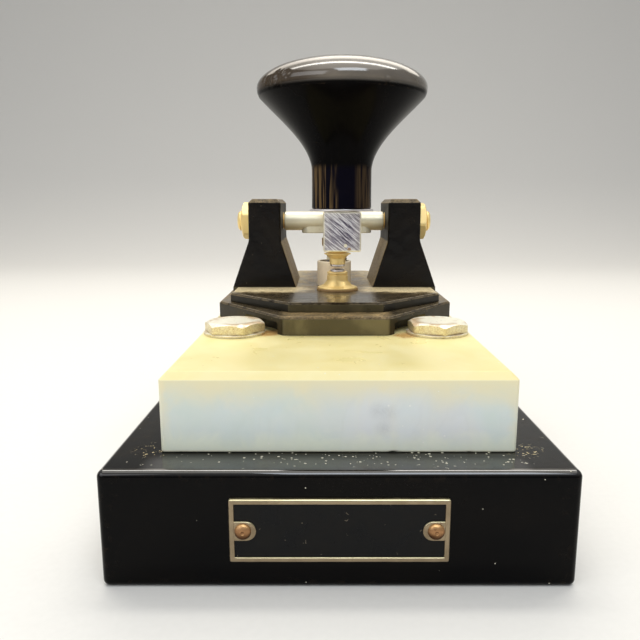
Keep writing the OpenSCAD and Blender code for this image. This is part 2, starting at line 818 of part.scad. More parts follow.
// Points of a cubic curve from p0 to p3
function curve(p0, p1, p2, p3, n) =
    [for (i = [0 : n]) let (t = i / n, s = 1 - t)
        s * s * s * p0 + 3 * s * s * t * p1 + 3 * s * t * t * p2 + t * t * t * p3];

// The knob's outline: straight stem, hollow flare, rim edge, low dome
module knob() {
    stem_r = knob_stem_d / 2;
    rim_r = knob_d / 2 - 0.4;
    widest_z = knob_h - knob_dome_h;
    rim_z = widest_z - knob_rim_h;
    flare_rise = rim_z - knob_stem_h;
    flare = curve([stem_r, knob_stem_h], [stem_r, knob_stem_h + flare_rise * 0.37],
        [stem_r + (rim_r - stem_r) * 0.66, rim_z - flare_rise * 0.27], [rim_r, rim_z], 12);
    rim = [[rim_r + 0.3, rim_z + knob_rim_h * 0.5]];
    dome = [for (a = [0 : 7.5 : 90]) [max(0, knob_d / 2 * cos(a)),
        widest_z + knob_dome_h * sin(a)]];
    hole_r = knob_screw_d / 2 + fit;
    hole_h = knob_screw_grip + 1;
    color(black)
        translate([lever_x, knob_y, lever_top + knob_washer_t])
            rotate_extrude()
                polygon(concat([[0, hole_h], [hole_r, hole_h], [hole_r, 0], [stem_r, 0]],
                    flare, rim, dome));
}

module knob_washer() {
    color(silver)
        translate([lever_x, knob_y, lever_top])
            ring(knob_washer_d / 2, knob_screw_d / 2 + fit, knob_washer_t);
}

module knob_screw() {
    shank_top = lever_top + knob_washer_t + knob_screw_grip;
    color(steel)
        difference() {
            translate([lever_x, knob_y, lever_bottom]) {
                cylinder(r1 = knob_screw_d * 0.85, r2 = knob_screw_d / 2, h = knob_screw_d * 0.4);
                cylinder(d = knob_screw_d, h = shank_top - lever_bottom);
            }
            translate([lever_x - knob_screw_d, knob_y - 0.4, lever_bottom - 1])
                cube([2 * knob_screw_d, 0.8, 1.7]);
        }
}

// Contacts

module hammer_contact() {
    r = hammer_shank_d / 2;
    tip_top = hammer_tip_z + tip_t;
    neck_r = tip_d / 2 + 0.2;
    flange_z = hammer_tip_z + 3.1;
    shank_top = lever_top + lever_nut_t + 1.6;
    color(brass)
        translate([lever_x, contact_y, 0])
            difference() {
                rotate_extrude()
                    polygon([[0, tip_top], [neck_r, tip_top], [neck_r, flange_z - 1.2],
                        [hammer_flange_d / 2, flange_z], [hammer_flange_d / 2, flange_z + 0.7],
                        [r + 0.4, flange_z + 1], [r, flange_z + 1.4], [r, shank_top - turned_c],
                        [r - turned_c, shank_top], [0, shank_top]]);
                translate([-r - 1, -0.35, shank_top - 1]) cube([2 * r + 2, 0.7, 2]);
            }
}

module hammer_tip() {
    color(silver)
        translate([lever_x, contact_y, hammer_tip_z]) cylinder(d = tip_d, h = tip_t);
}

module hammer_lock_nuts() {
    color(brass) {
        translate([lever_x, contact_y, lever_top])
            hex_nut(lever_nut_af, lever_nut_t, hammer_shank_d / 2 + fit);
        translate([lever_x, contact_y, lever_bottom]) mirror([0, 0, 1])
            hex_nut(lever_nut_af, lever_nut_t, hammer_shank_d / 2 + fit);
    }
}

module anvil_contact() {
    neck_r = anvil_neck_d / 2;
    neck_top = anvil_top - tip_t;
    tail_z = strap_bottom - small_nut_t - 1;
    groove = 0.25;
    cone_z = anvil_seat + 2.2;
    color(brass)
        translate([lever_x, contact_y, 0])
            rotate_extrude()
                polygon([[0, tail_z], [anvil_stud_d / 2, tail_z], [anvil_stud_d / 2, anvil_seat],
                    [anvil_flange_d / 2, anvil_seat], [anvil_flange_d / 2, anvil_seat + 0.6],
                    [neck_r + 1.2, anvil_seat + 0.9], [neck_r, cone_z], [neck_r, neck_top - 1.1],
                    [neck_r - groove, neck_top - 1], [neck_r - groove, neck_top - 0.7],
                    [neck_r, neck_top - 0.6], [neck_r, neck_top - 0.2],
                    [neck_r - turned_c, neck_top], [0, neck_top]]);
}

module anvil_tip() {
    color(silver)
        translate([lever_x, contact_y, anvil_top - tip_t]) cylinder(d = tip_d, h = tip_t);
}

module anvil_bush() {
    color(fibre)
        translate([lever_x, contact_y, 0])
            difference() {
                union() {
                    translate([0, 0, slab_top]) cylinder(d = bush_d, h = upper_top - slab_top);
                    translate([0, 0, upper_top])
                        cylinder(d = anvil_flange_d + 0.6, h = bush_flange_t);
                }
                translate([0, 0, slab_top - 1])
                    cylinder(r = anvil_stud_d / 2 + fit, h = anvil_seat - slab_top + 2);
            }
}

module anvil_nut() {
    color(brass)
        translate([lever_x, contact_y, strap_bottom]) mirror([0, 0, 1])
            hex_nut(small_nut_af, small_nut_t, anvil_stud_d / 2 + fit);
}

// A flat strap with round ends between two studs
module strap(from, to, from_r, to_r) {
    span = to - from;
    translate([from.x, from.y, strap_bottom]) rotate([0, 0, atan2(span.y, span.x)])
        difference() {
            union() {
                cylinder(d = strap_w, h = strap_t);
                translate([norm(span), 0, 0]) cylinder(d = strap_w, h = strap_t);
                translate([0, -strap_w / 2, 0]) cube([norm(span), strap_w, strap_t]);
            }
            translate([0, 0, -1]) cylinder(r = from_r + fit, h = strap_t + 2);
            translate([norm(span), 0, -1]) cylinder(r = to_r + fit, h = strap_t + 2);
        }
}

module anvil_strap() {
    color(brass)
        strap([lever_x, contact_y], [corner_x, back_corner_y], anvil_stud_d / 2, stud_d / 2);
}

module frame_strap() {
    color(brass)
        strap([-frame_bolt_x, axle_y], [-corner_x, back_corner_y], frame_bolt_d / 2, stud_d / 2);
}

// Return spring

module spring_cup() {
    r = cup_d / 2;
    inner_r = r - cup_wall;
    top = upper_top + cup_h;
    lip_c = cup_wall - 0.1;
    shoulder = [for (a = [0 : 22.5 : 90])
        [r - lip_c + lip_c * cos(a), top - lip_c + lip_c * sin(a)]];
    color(nickel)
        translate([0, spring_y, 0])
            rotate_extrude()
                polygon(concat([[0, peg_bottom], [peg_d / 2, peg_bottom], [peg_d / 2, upper_top],
                    [r, upper_top]], shoulder, [[inner_r, top], [inner_r, cup_floor],
                    [0, cup_floor]]));
}

// Rings of a tube swept along a path, each ring square to the path there
function tangent(path, i) =
    let (a = path[max(i - 1, 0)], b = path[min(i + 1, len(path) - 1)], v = b - a) v / norm(v);

function ring_at(path, i, r, sides) =
    let (t = tangent(path, i), out = [path[i].x, path[i].y, 0],
        side = out - (out * t) * t, u = side / norm(side), w = cross(t, u))
    [for (k = [0 : sides - 1]) path[i] + r * (cos(360 * k / sides) * u + sin(360 * k / sides) * w)];

module tube(path, r, sides) {
    last = len(path) - 1;
    points = [for (i = [0 : last]) each ring_at(path, i, r, sides)];
    walls = [for (i = [0 : last - 1], k = [0 : sides - 1])
        let (a = i * sides + k, b = i * sides + (k + 1) % sides, c = a + sides, d = b + sides)
        each [[a, c, b], [b, c, d]]];
    ends = [for (k = [1 : sides - 2])
        each [[0, k, k + 1], [last * sides, last * sides + k + 1, last * sides + k]]];
    polyhedron(points = points, faces = concat(walls, ends), convexity = 8);
}

// Path of the spring: a straight end, a helix at a steady rise, a straight end
spring_len = spring_top - cup_floor;
coil_len = spring_len - 2 * wire_d;
turns = floor(coil_len / coil_pitch);
spring_path = concat([[coil_d / 2, 0, 0]],
    [for (i = [0 : turns * spring_rings]) let (a = 360 * i / spring_rings)
        [coil_d / 2 * cos(a), coil_d / 2 * sin(a), wire_d + coil_len * i / (turns * spring_rings)]],
    [[coil_d / 2, 0, spring_len]]);
spring_gap = min([for (i = [0 : len(spring_path) - 1])
    for (j = [i + spring_rings / 2 : 1 : len(spring_path) - 1])
        norm(spring_path[i] - spring_path[j])]) - wire_d;
echo("return spring: turns", turns, "least gap to itself, mm", spring_gap);

module return_spring() {
    color(steel)
        translate([lever_x, spring_y, cup_floor]) tube(spring_path, wire_d / 2, spring_sides);
}

// Back stop under the gap screw

module back_stop() {
    r = stop_d / 2;
    flange = 1.6;
    color(nickel)
        translate([lever_x, gap_y, 0])
            rotate_extrude()
                polygon([[0, peg_bottom], [peg_d / 2, peg_bottom], [peg_d / 2, upper_top],
                    [r + flange, upper_top], [r + flange, upper_top + 1.2], [r, upper_top + 2.4],
                    [r, stop_top - turned_c], [r - turned_c, stop_top], [0, stop_top]]);
}

// Adjusting screws, their heads and lock nuts

module spring_screw() {
    r = spring_screw_d / 2;
    screw_top = heads_bottom + head_h + head_end_len;
    pin_r = coil_d / 2 - wire_d / 2 - 0.35;
    pin_bottom = foot_bottom - 1.6;
    color(steel)
        translate([lever_x, spring_y, 0])
            rotate_extrude()
                polygon([[0, pin_bottom], [pin_r - turned_c, pin_bottom],
                    [pin_r, pin_bottom + turned_c], [pin_r, foot_bottom],
                    [foot_d / 2, foot_bottom], [foot_d / 2, foot_top], [r, foot_top],
                    [r, screw_top - turned_c], [r - turned_c, screw_top], [0, screw_top]]);
}

module spring_screw_head() {
    color(brass)
        translate([lever_x, spring_y, heads_bottom])
            knurled_drum(head_d, head_h, spring_screw_d / 2 + fit);
}

module spring_lock_nut() {
    color(brass)
        translate([lever_x, spring_y, lever_top])
            hex_nut(lever_nut_af, lever_nut_t, spring_screw_d / 2 + fit);
}

module gap_screw() {
    r = gap_screw_d / 2;
    screw_top = heads_bottom + head_h + head_end_len;
    color(steel)
        translate([lever_x, gap_y, 0])
            rotate_extrude()
                polygon([[0, stop_top], [r - 0.6, stop_top], [r - 0.6, stop_top + 1.2],
                    [r, stop_top + 1.8], [r, screw_top - turned_c], [r - turned_c, screw_top],
                    [0, screw_top]]);
}

module gap_screw_head() {
    color(brass)
        translate([lever_x, gap_y, heads_bottom])
            knurled_drum(head_d, head_h, gap_screw_d / 2 + fit);
}

module gap_lock_nut() {
    color(brass)
        translate([lever_x, gap_y, lever_top])
            hex_nut(lever_nut_af, lever_nut_t, gap_screw_d / 2 + fit);
}

// Terminals

module terminal_studs() {
    r = stud_d / 2;
    tail_z = strap_bottom - small_nut_t - 1;
    color(brass)
        both_sides(corner_x, back_corner_y, 0)
            rotate_extrude()
                polygon([[0, tail_z], [r, tail_z], [r, slab_top], [collar_d / 2, slab_top],
                    [collar_d / 2, terminal_washer_z - turned_c],
                    [collar_d / 2 - turned_c, terminal_washer_z], [r, terminal_washer_z],
                    [r, stud_top - turned_c], [r - turned_c, stud_top], [0, stud_top]]);
}

module terminal_lower_nuts() {
    color(brass)
        both_sides(corner_x, back_corner_y, strap_bottom) mirror([0, 0, 1])
            hex_nut(small_nut_af, small_nut_t, stud_d / 2 + fit);
}

module terminal_washer(s) {
    color(brass)
        translate([s * corner_x, back_corner_y, terminal_washer_z])
            ring(wire_washer_d / 2, stud_d / 2 + fit, wire_washer_t);
}

module thumb_nut(s) {
    color(brass)
        translate([s * corner_x, back_corner_y, thumb_nut_z])
            knurled_drum(thumb_nut_d, thumb_nut_h, stud_d / 2 + fit);
}

base();
base_cover();
cover_screws();
nameplate();
nameplate_rivets();
marble_slab();
slab_bolts();
slab_washers();
slab_nuts();
key_frame();
frame_bolts();
frame_bolt_washer();
pivot_screws();
pivot_lock_nuts();
anvil_contact();
anvil_tip();
anvil_bush();
anvil_nut();
anvil_strap();
frame_strap();
spring_cup();
return_spring();
back_stop();
terminal_studs();
terminal_lower_nuts();
terminal_washer(-1);  // terminal_washer_left
terminal_washer(1);  // terminal_washer_right
thumb_nut(-1);  // thumb_nut_left
thumb_nut(1);  // thumb_nut_right
lever_bar();
trunnion_left();
trunnion_right();
knob();
knob_washer();
knob_screw();
hammer_contact();
hammer_tip();
hammer_lock_nuts();
spring_lock_nut();
gap_lock_nut();
spring_screw();
spring_screw_head();
gap_screw();
gap_screw_head();
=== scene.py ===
"""Looks of a straight telegraph key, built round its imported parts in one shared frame.

Each new piece is a surface worked out with numpy: a profile turned about an axis, a profile carried
round an outline, or rings carried along a path. Lengths are in metres. Places and sizes come from the
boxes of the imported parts, and the named values below give what a box can't tell.
"""
import math

import bmesh
import bpy
import numpy as np
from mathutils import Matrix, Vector


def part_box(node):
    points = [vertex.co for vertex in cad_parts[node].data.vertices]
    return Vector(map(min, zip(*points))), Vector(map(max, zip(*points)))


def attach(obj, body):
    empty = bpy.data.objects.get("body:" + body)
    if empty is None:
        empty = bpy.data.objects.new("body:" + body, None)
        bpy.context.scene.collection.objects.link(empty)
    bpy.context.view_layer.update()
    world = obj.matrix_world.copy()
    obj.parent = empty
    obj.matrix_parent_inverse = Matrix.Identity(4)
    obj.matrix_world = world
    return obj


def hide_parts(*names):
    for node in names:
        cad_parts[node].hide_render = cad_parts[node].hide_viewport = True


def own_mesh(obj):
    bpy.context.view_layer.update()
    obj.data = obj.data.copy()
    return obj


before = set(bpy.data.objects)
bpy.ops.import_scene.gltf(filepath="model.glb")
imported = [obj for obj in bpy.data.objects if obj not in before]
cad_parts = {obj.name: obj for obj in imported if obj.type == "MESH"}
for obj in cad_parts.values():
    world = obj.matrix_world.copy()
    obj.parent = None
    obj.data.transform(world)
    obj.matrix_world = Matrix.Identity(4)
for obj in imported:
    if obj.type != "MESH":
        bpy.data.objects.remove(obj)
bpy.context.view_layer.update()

MM = 0.001
EDGE_SHARP = 0.35 * MM
SIDES = ((-1, "left"), (1, "right"))

# Base and cover
BASE_EDGE_R = 1.4 * MM
BASE_WALL = 4 * MM
BASE_TOP_T = 5 * MM
PILLAR_X = 36 * MM
PILLAR_Y = 70.5 * MM
PILLAR_R = 4 * MM
COVER_RIM = 2.5 * MM
COVER_T = 2.0 * MM
UNDER_SLAB = 12 * MM
GRIT_FROM_Y = -0.0764
GRIT_TO_Y = -0.0735
GRIT_HALF_X = 34 * MM
SLAB_CORNERS = [(-0.0350, -0.0675, 0.0223), (0.0350, -0.0675, 0.0223)]
TUFT_REACH = 6.5 * MM

# Nameplate
PLATE_FIELD_T = 0.5 * MM
PLATE_BORDER = 0.95 * MM
PLATE_CORNER_R = 0.4 * MM
LAND_LENGTH = 3.9 * MM
LAND_H = 3.65 * MM
RIVET_D = 3.0 * MM
RIVET_DOME = 0.8 * MM
RIVET_DIMPLE = [(0, 0.42 * MM), (0.42 * MM, 0.74 * MM)]
RIVET_SEAT = -0.1 * MM
LAND_BEVEL = 0.15 * MM

# Slab and its bolts
SLAB_CHAMFER = 1.4 * MM
SLAB_CORNER_R = 0.7 * MM
CORNER_X = 24.4 * MM
BOLT_AF = 13 * MM
BOLT_TURN = {-1: 23, 1: 5}
BOLT_WASHER_R = 7.4 * MM
BOLT_SHANK_R = 4.05 * MM
BOLT_TAN_R = (3.2 * MM, 5.8 * MM)
STAINS = [((-0.0170, -0.0315, 0.0377), 0.007, 0.8), ((0.0168, -0.0345, 0.0377), 0.006, 0.7),
          ((-0.0300, -0.0290, 0.0377), 0.005, 0.4)]
MARBLE_SMUDGES = [(0.0072, -0.0687, 0.0304), (0.0094, -0.0687, 0.0300), (0.0084, -0.0687, 0.0270)]
SMUDGE_REACH = 0.0024
MARBLE_WANDER = 0.0016
MARBLE_RIM_Z = (0.0305, 0.0378)
MARBLE_SIDE_X = (0.0318, 0.0342)
# The band where the marble's foot is painted paler, as painted light.
MARBLE_LIT_FOOT_Z = (0.0221, 0.0262)

# Cast frame
LOWER_TIER = {"half_len": 45.4 * MM, "half_w": 31.7 * MM, "flat_w": 25 * MM, "side_half": 20 * MM}
UPPER_TIER = {"half_len": 38.4 * MM, "half_w": 28.4 * MM, "flat_w": 23.4 * MM, "side_half": 21 * MM}
LOWER_TIER_H = 4.4 * MM
UPPER_TIER_H = 2.4 * MM
LOWER_CORNER_R = 2 * MM
UPPER_CORNER_R = 1 * MM
TIER_BEVEL = 0.5 * MM
RELIEF_R = 10.6 * MM
RELIEF_H = 2.9 * MM
POST_INNER_X = 15.3 * MM
POST_OUTER_X = 24.6 * MM
FOOT_INNER_X = 11.0 * MM
FOOT_OUTER_X = 29.4 * MM
POST_DEPTH = 26 * MM
FLARE_H = 13.4 * MM
POST_CORNER_R = 0.6 * MM
POST_BEVEL = 1.1 * MM
LEDGE_Z = 42.1 * MM
TIER_TOP_Z = 44.5 * MM
DUST_FROM_Y = -16 * MM
DUST_TO_Y = -4 * MM
MIDDLE_DUST_X = (11.5 * MM, 14.5 * MM)
POST_DUST_AND_LIGHT_X = (6 * MM, 11 * MM)
POST_DUST_AND_LIGHT_Y = (-11 * MM, -7.5 * MM)
POST_DUST_AND_LIGHT_END_Y = (1.5 * MM, 3 * MM)
CAST_WAVE = 0.05 * MM

# Pivot
PIVOT_SCREW_D = 6 * MM
PIVOT_NUT_AF = 10 * MM
PIVOT_NUT_T = 3 * MM
PIVOT_NUT_TURN = {-1: -12, 1: 41}
PIVOT_CONE_LEN = 2.95 * MM
SPOT_R = 6.07 * MM
SOCKET_MOUTH_R = 2.15 * MM
SOCKET_DEPTH = 2.7 * MM
PIVOT_SLOT_TURN = 24
TRUNNION_TAIL = 0.3 * MM
TRUNNION_FOOT_LEN = 6.8 * MM
TRUNNION_FOOT_W = 4.6 * MM
TRUNNION_FOOT_H = 2.6 * MM
TRUNNION_FOOT_R = 0.3 * MM
SAW_ANGLE = -40
LEVER_SPOTS = [((0.00145, -0.0558, 0.0602), (0.86, 0.80, 0.62, 1)),
               ((0.0022, -0.0558, 0.0595), (0.30, 0.15, 0.07, 1))]
LEVER_SPOT_REACH = 0.0006
LEVER_EDGE_R = 0.4 * MM
LEVER_RINGS = 60
LEVER_NUT_AF = 8 * MM
LEVER_NUT_T = 2.4 * MM

# Knob
KNOB_STEM_R = 6.1 * MM
KNOB_STEM_H = 7.5 * MM
KNOB_DOME_H = 5.8 * MM
KNOB_RIM_H = 1.5 * MM
DOME_Z = 23.4 * MM
KNOB_RIM_STEP = 0.4 * MM
KNOB_BORE_R = 2.05 * MM
KNOB_BORE_DEPTH = 12 * MM
FLARE_UP, FLARE_OUT, FLARE_DOWN = 0.37, 0.66, 0.27
KNOB_HAZE_REFLECTION_X = (-8 * MM, -1 * MM)
KNOB_POLISH_X = (-13 * MM, -2 * MM)
STEM_LEFT_X = (-1.4 * MM, -0.3 * MM)
STEM_RIGHT_X = (2.2 * MM, 3.4 * MM)
KNOB_CHIPS = [(-46, 0.4 * MM, 1.5 * MM, 0.5 * MM), (-55, 0.1 * MM, 1.0 * MM, 0.35 * MM),
              (-38, 0.9 * MM, 0.9 * MM, 0.3 * MM), (-62, 0.8 * MM, 0.8 * MM, 0.25 * MM),
              (27, -0.3 * MM, 0.7 * MM, 0.25 * MM), (118, 0.2 * MM, 1.0 * MM, 0.3 * MM)]

# Contacts, spring and screws
TIP_T = 0.7 * MM
HAMMER_FLANGE_Z = 3.1 * MM
HAMMER_SHANK_R = 2.0 * MM
HAMMER_SLOT_TURN = 35
HAMMER_NUT_TURN = 17
ANVIL_NECK_R = 2.9 * MM
BUSH_BORE_R = 2.55 * MM
CUP_FLOOR_T = 1.8 * MM
CUP_WALL = 0.75 * MM
WIRE_D = 0.8 * MM
COIL_R = 2.6 * MM
SPRING_TURNS = 5
SPRING_END_TURNS = 1.5
FRAME_TOP_DROP = 0.5 * MM
SCREW_PITCH = 0.8 * MM
NUT_PLAY = 0.05 * MM
ADJUSTING_SCREWS = (("spring", 2.5 * MM, 41), ("gap", 2.0 * MM, 11))
FINE_PITCH = 0.7 * MM
THREAD_DEPTH = 0.26 * MM
FOOT_R = 3.5 * MM
FOOT_T = 1.0 * MM
KNURLS = 36
KNURL_DEPTH = 0.35 * MM
COLLAR_H = 2.4 * MM
COLLAR_R = 4.8 * MM
STUD_R = 2.0 * MM


# Camera and light
FRAME_PIXELS = 640
FOCAL_PIXELS = 637.3
CENTRE_PIXEL = 326.1
CAMERA_PLACE = (-0.00238, -0.1823, 0.06843)
CAMERA_PITCH = 10.365
FLOOR_FRONT_Y = -7
WALL_Y = 1.1
WALL_TOP_Z = 3.2
SWEEP_R = 0.6
STAGE_HALF_X = 6


def make_camera():
    """The photograph's view, as the places of the key's corners in it give it."""
    camera = bpy.data.cameras.new("camera")
    camera.sensor_width = 36
    camera.lens = camera.sensor_width * FOCAL_PIXELS / FRAME_PIXELS
    camera.shift_x = (FRAME_PIXELS / 2 - CENTRE_PIXEL) / FRAME_PIXELS
    camera.clip_start = 0.005
    holder = bpy.data.objects.new("camera", camera)
    holder.location = CAMERA_PLACE
    holder.rotation_euler = (math.radians(90 - CAMERA_PITCH), 0, 0)
    bpy.context.scene.collection.objects.link(holder)
    bpy.context.scene.camera = holder


def make_lamp(name, place, target, size, power, colour):
    """A soft lamp of a given width and depth that faces a target."""
    light = bpy.data.lights.new(name, "AREA")
    light.shape = "RECTANGLE"
    light.size, light.size_y = size
    light.energy = power
    light.color = colour
    lamp = bpy.data.objects.new(name, light)
    lamp.location = place
    lamp.rotation_euler = (Vector(target) - Vector(place)).to_track_quat("-Z", "Y").to_euler()
    bpy.context.scene.collection.objects.link(lamp)


def make_light():
    """A warm ceiling, two long tubes, a small cool lamp in front, a weak fill, and an even pale world."""
    aim = (0, 0, 0.04)
    make_lamp("ceiling_lamp", (0, 0.02, 0.78), aim, (1.0, 0.9), 2.65, (1.0, 0.95, 0.86))
    make_lamp("tube_lamp", (0, 0.12, 0.62), aim, (0.8, 0.08), 1.6, (1.0, 0.97, 0.9))
    make_lamp("back_tube_lamp", (0, 0.42, 0.5), aim, (1.0, 0.2), 1.4, (1.0, 0.93, 0.82))
    make_lamp("front_lamp", (0.095, -0.417, 0.568), aim, (0.34, 0.26), 1.15, (0.86, 0.93, 1.0))
    make_lamp("fill_lamp", (-0.5, -0.5, 0.35), aim, (0.6, 0.5), 1.2, (0.97, 0.98, 1.0))
    bpy.context.scene.view_settings.view_transform = "Standard"
    world = bpy.data.worlds.new("pale_world")
    bpy.context.scene.world = world
    world.use_nodes = True
    world.node_tree.nodes["Background"].inputs["Color"].default_value = (0.5, 0.5, 0.5, 1)
    world.node_tree.nodes["Background"].inputs["Strength"].default_value = 0.7


# Shapes

def mm(*values):
    """Lengths given in millimetres, in metres."""
    return np.array(values) * MM


def rounded(corners, radii, steps=4):
    """The line through the corners, with each corner replaced by an arc of its own radius.

    The arc's ends lie radius / tan(half the inner angle) from the corner along both sides, and its
    points swing from one end to the other by equal angles. One more point stands a little way off
    each end, so that the flats beside the arc stay flat.
    """
    corners = np.asarray(corners, float)
    radii = np.broadcast_to(np.asarray(radii, float), len(corners))
    parts = [corners[:1]]
    for before, corner, after, radius in zip(corners, corners[1:], corners[2:], radii[1:]):
        a, b = before - corner, after - corner
        len_a, len_b = np.linalg.norm(a), np.linalg.norm(b)
        a, b = a / len_a, b / len_b
        half = math.acos(float(np.clip(a @ b, -1, 1))) / 2
        reach = min(radius / math.tan(half), 0.49 * min(len_a, len_b)) if half < 1.57 else 0
        if reach < 1e-7:
            parts.append(corner[None])
            continue
        centre = corner + (a + b) / np.linalg.norm(a + b) * reach / math.cos(half)
        sweep = math.pi - 2 * half
        t = np.linspace(0, 1, steps + 1)[:, None]
        start, end = corner + a * reach - centre, corner + b * reach - centre
        arc = centre + (start * np.sin((1 - t) * sweep) + end * np.sin(t * sweep)) / math.sin(sweep)
        off_a = reach + min(0.6 * reach, 0.4 * (len_a - 2 * reach))
        off_b = reach + min(0.6 * reach, 0.4 * (len_b - 2 * reach))
        parts.append(np.concatenate([[corner + a * off_a], arc, [corner + b * off_b]]))
    parts.append(corners[-1:])
    return np.concatenate(parts)


def looped(corners, radii, steps=4):
    """The closed line round the corners, each replaced by an arc, without its first point repeated."""
    corners = np.asarray(corners, float)
    radii = np.broadcast_to(np.asarray(radii, float), len(corners))
    middle = (corners[:1] + corners[-1:]) / 2
    line = rounded(np.concatenate([middle, corners, middle]), np.concatenate([[0], radii, [0]]), steps)
    return line[:-1]


def outline(corners, radius, steps=5, fill=0):
    """The outline round a convex polygon at a distance: an arc of that radius about each corner.

    Each arc swings from the outward direction of the side before its corner to that of the side after,
    and each straight stretch between two arcs may get evenly spaced points.
    """
    sides = np.roll(corners, -1, 0) - corners
    outward = np.arctan2(sides[:, 1], sides[:, 0]) - math.pi / 2
    before = np.roll(outward, 1)
    turn = (outward - before) % (2 * math.pi)
    angle = before[:, None] + turn[:, None] * np.linspace(0, 1, steps + 1)
    arcs = corners[:, None] + radius * np.stack([np.cos(angle), np.sin(angle)], -1)
    if fill:
        t = (np.arange(1, fill + 1) / (fill + 1))[None, :, None]
        arcs = np.concatenate([arcs, arcs[:, -1:] * (1 - t) + np.roll(arcs[:, :1], -1, 0) * t], 1)
    return arcs.reshape(-1, 2)


def moved_in(corners, distance):
    """The polygon with each side moved in: a corner shifts by distance * (n1 + n2) / (1 + n1 . n2)."""
    sides = np.roll(corners, -1, 0) - corners
    inward = np.stack([-sides[:, 1], sides[:, 0]], -1) / np.linalg.norm(sides, axis=1, keepdims=True)
    before = np.roll(inward, 1, 0)
    return corners + distance * (before + inward) / (1 + (before * inward).sum(1, keepdims=True))


def rectangle(half_x, half_y, radius=0.0):
    """Corners of a rectangle, moved in by the radius that its outline will have."""
    x, y = half_x - radius, half_y - radius
    return np.array([[-x, -y], [x, -y], [x, y], [-x, y]])


def carried(corners, radius, profile, steps=5, fill=0):
    """Rings of a profile of (distance in, height) rows carried round a polygon with rounded corners."""
    return np.stack([
        np.column_stack([ring, np.full(len(ring), height)])
        for inset, height in profile
        for ring in [outline(moved_in(corners, max(inset - radius, 0)), max(radius - inset, 0), steps, fill)]
    ])


def turned(profile, around=96, ripple=None):
    """Rings of a profile of (radius, height) rows turned about +Z.

    A ripple, given angle and height, is added to the radius, and that makes threads and knurls.
    """
    profile = np.asarray(profile, float)
    angle = np.linspace(0, 2 * math.pi, around, endpoint=False)[None, :]
    radius = np.repeat(profile[:, :1], around, 1)
    height = np.repeat(profile[:, 1:], around, 1)
    if ripple is not None:
        radius = radius + ripple(angle, height)
        radius = np.maximum(radius, 0) * (profile[:, :1] > 0)
    return np.stack([radius * np.cos(angle), radius * np.sin(angle), height], -1)


def hexagon(flats, height, bore, chamfer_both=False, around=96):
    """Rings of a hexagonal nut about +Z, where a 30 degree cone cuts its corners back.

    The side's radius at an angle is half the flats over the cosine of the angle from the flat's middle.
    The cone starts at 0.96 of half the flats on the end face and drops tan(30) for each step outwards,
    so the side ends on the curve where the two meet. A bore of 0 closes the nut with flat ends.
    """
    angle = np.linspace(0, 2 * math.pi, around, endpoint=False)
    from_middle = (angle % (math.pi / 3)) - math.pi / 6
    side = np.minimum(flats / 2 / np.cos(from_middle), flats / 2 / math.cos(math.pi / 6) * 0.985)
    face = np.full(around, flats / 2 * 0.96)
    drop = (side - face) * math.tan(math.radians(30))
    rows = [(face, np.zeros(around)), (side, drop)] if chamfer_both else [(side, np.zeros(around))]
    rows += [(side, height - drop), (face, np.full(around, height))]
    if bore:
        lip = min(0.25 * MM, bore * 0.1)
        inner = [(bore + lip, height), (bore, height - lip), (bore, lip), (bore + lip, 0)]
        rows += [(np.full(around, radius), np.full(around, z)) for radius, z in inner]
    return np.stack([np.stack([r * np.cos(angle), r * np.sin(angle), z], -1) for r, z in rows])


def thread_ripple(pitch, depth, low, high):
    """A screw thread: the radius falls by the depth times a wave of height / pitch less the turn."""
    def ripple(angle, height):
        wave = 0.5 - 0.5 * np.cos(2 * math.pi * (height / pitch) - angle)
        inside = np.clip((height - low) / pitch, 0, 1) * np.clip((high - height) / pitch, 0, 1)
        return -depth * wave ** 0.8 * inside
    return ripple


def knurl_ripple(count, depth, low, high, blend):
    """Straight knurls: a sawtooth round the axis, faded in and out at both ends of its band."""
    def ripple(angle, height):
        tooth = np.abs(((angle * count / (2 * math.pi)) % 1) * 2 - 1)
        inside = np.clip((height - low) / blend, 0, 1) * np.clip((high - height) / blend, 0, 1)
        return -depth * tooth * inside
    return ripple


def tube(path, radius, around=12):
    """Rings of a round wire along a path, each square to it; the side vector is carried along it."""
    ahead = np.gradient(path, axis=0)
    ahead /= np.linalg.norm(ahead, axis=1, keepdims=True)
    out = path - path.mean(0)
    out[:, 2] = 0
    side = out - (out * ahead).sum(1, keepdims=True) * ahead
    side /= np.linalg.norm(side, axis=1, keepdims=True)
    up = np.cross(ahead, side)
    angle = np.linspace(0, 2 * math.pi, around, endpoint=False)[None, :, None]
    return path[:, None] + radius * (np.cos(angle) * side[:, None] + np.sin(angle) * up[:, None])


def waves(points, size, seed):
    """An even, smooth noise in -1 to 1: the mean of sines of the place along seeded directions."""
    random = np.random.default_rng(seed)
    direction = random.normal(size=(12, 3))
    direction *= random.uniform(0.6, 1.9, (12, 1)) / np.linalg.norm(direction, axis=1, keepdims=True)
    phase = random.uniform(0, 2 * math.pi, 12)
    return np.sin(points @ direction.T * (2 * math.pi / size) + phase).sum(-1) / 5


def placed(points, place, along=(0, 0, 1), turn=0.0):
    """Points made about +Z, turned by an angle in degrees, stood along a direction and set at a place."""
    axis = np.asarray(along, float)
    first = np.array([0, 0, 1.0]) if abs(axis[2]) < 0.5 else np.array([1.0, 0, 0])
    second = np.cross(axis, first)
    c, s = math.cos(math.radians(turn)), math.sin(math.radians(turn))
    basis = np.stack([c * first + s * second, c * second - s * first, axis])
    return points @ basis + np.asarray(place, float)


# Meshes and pieces

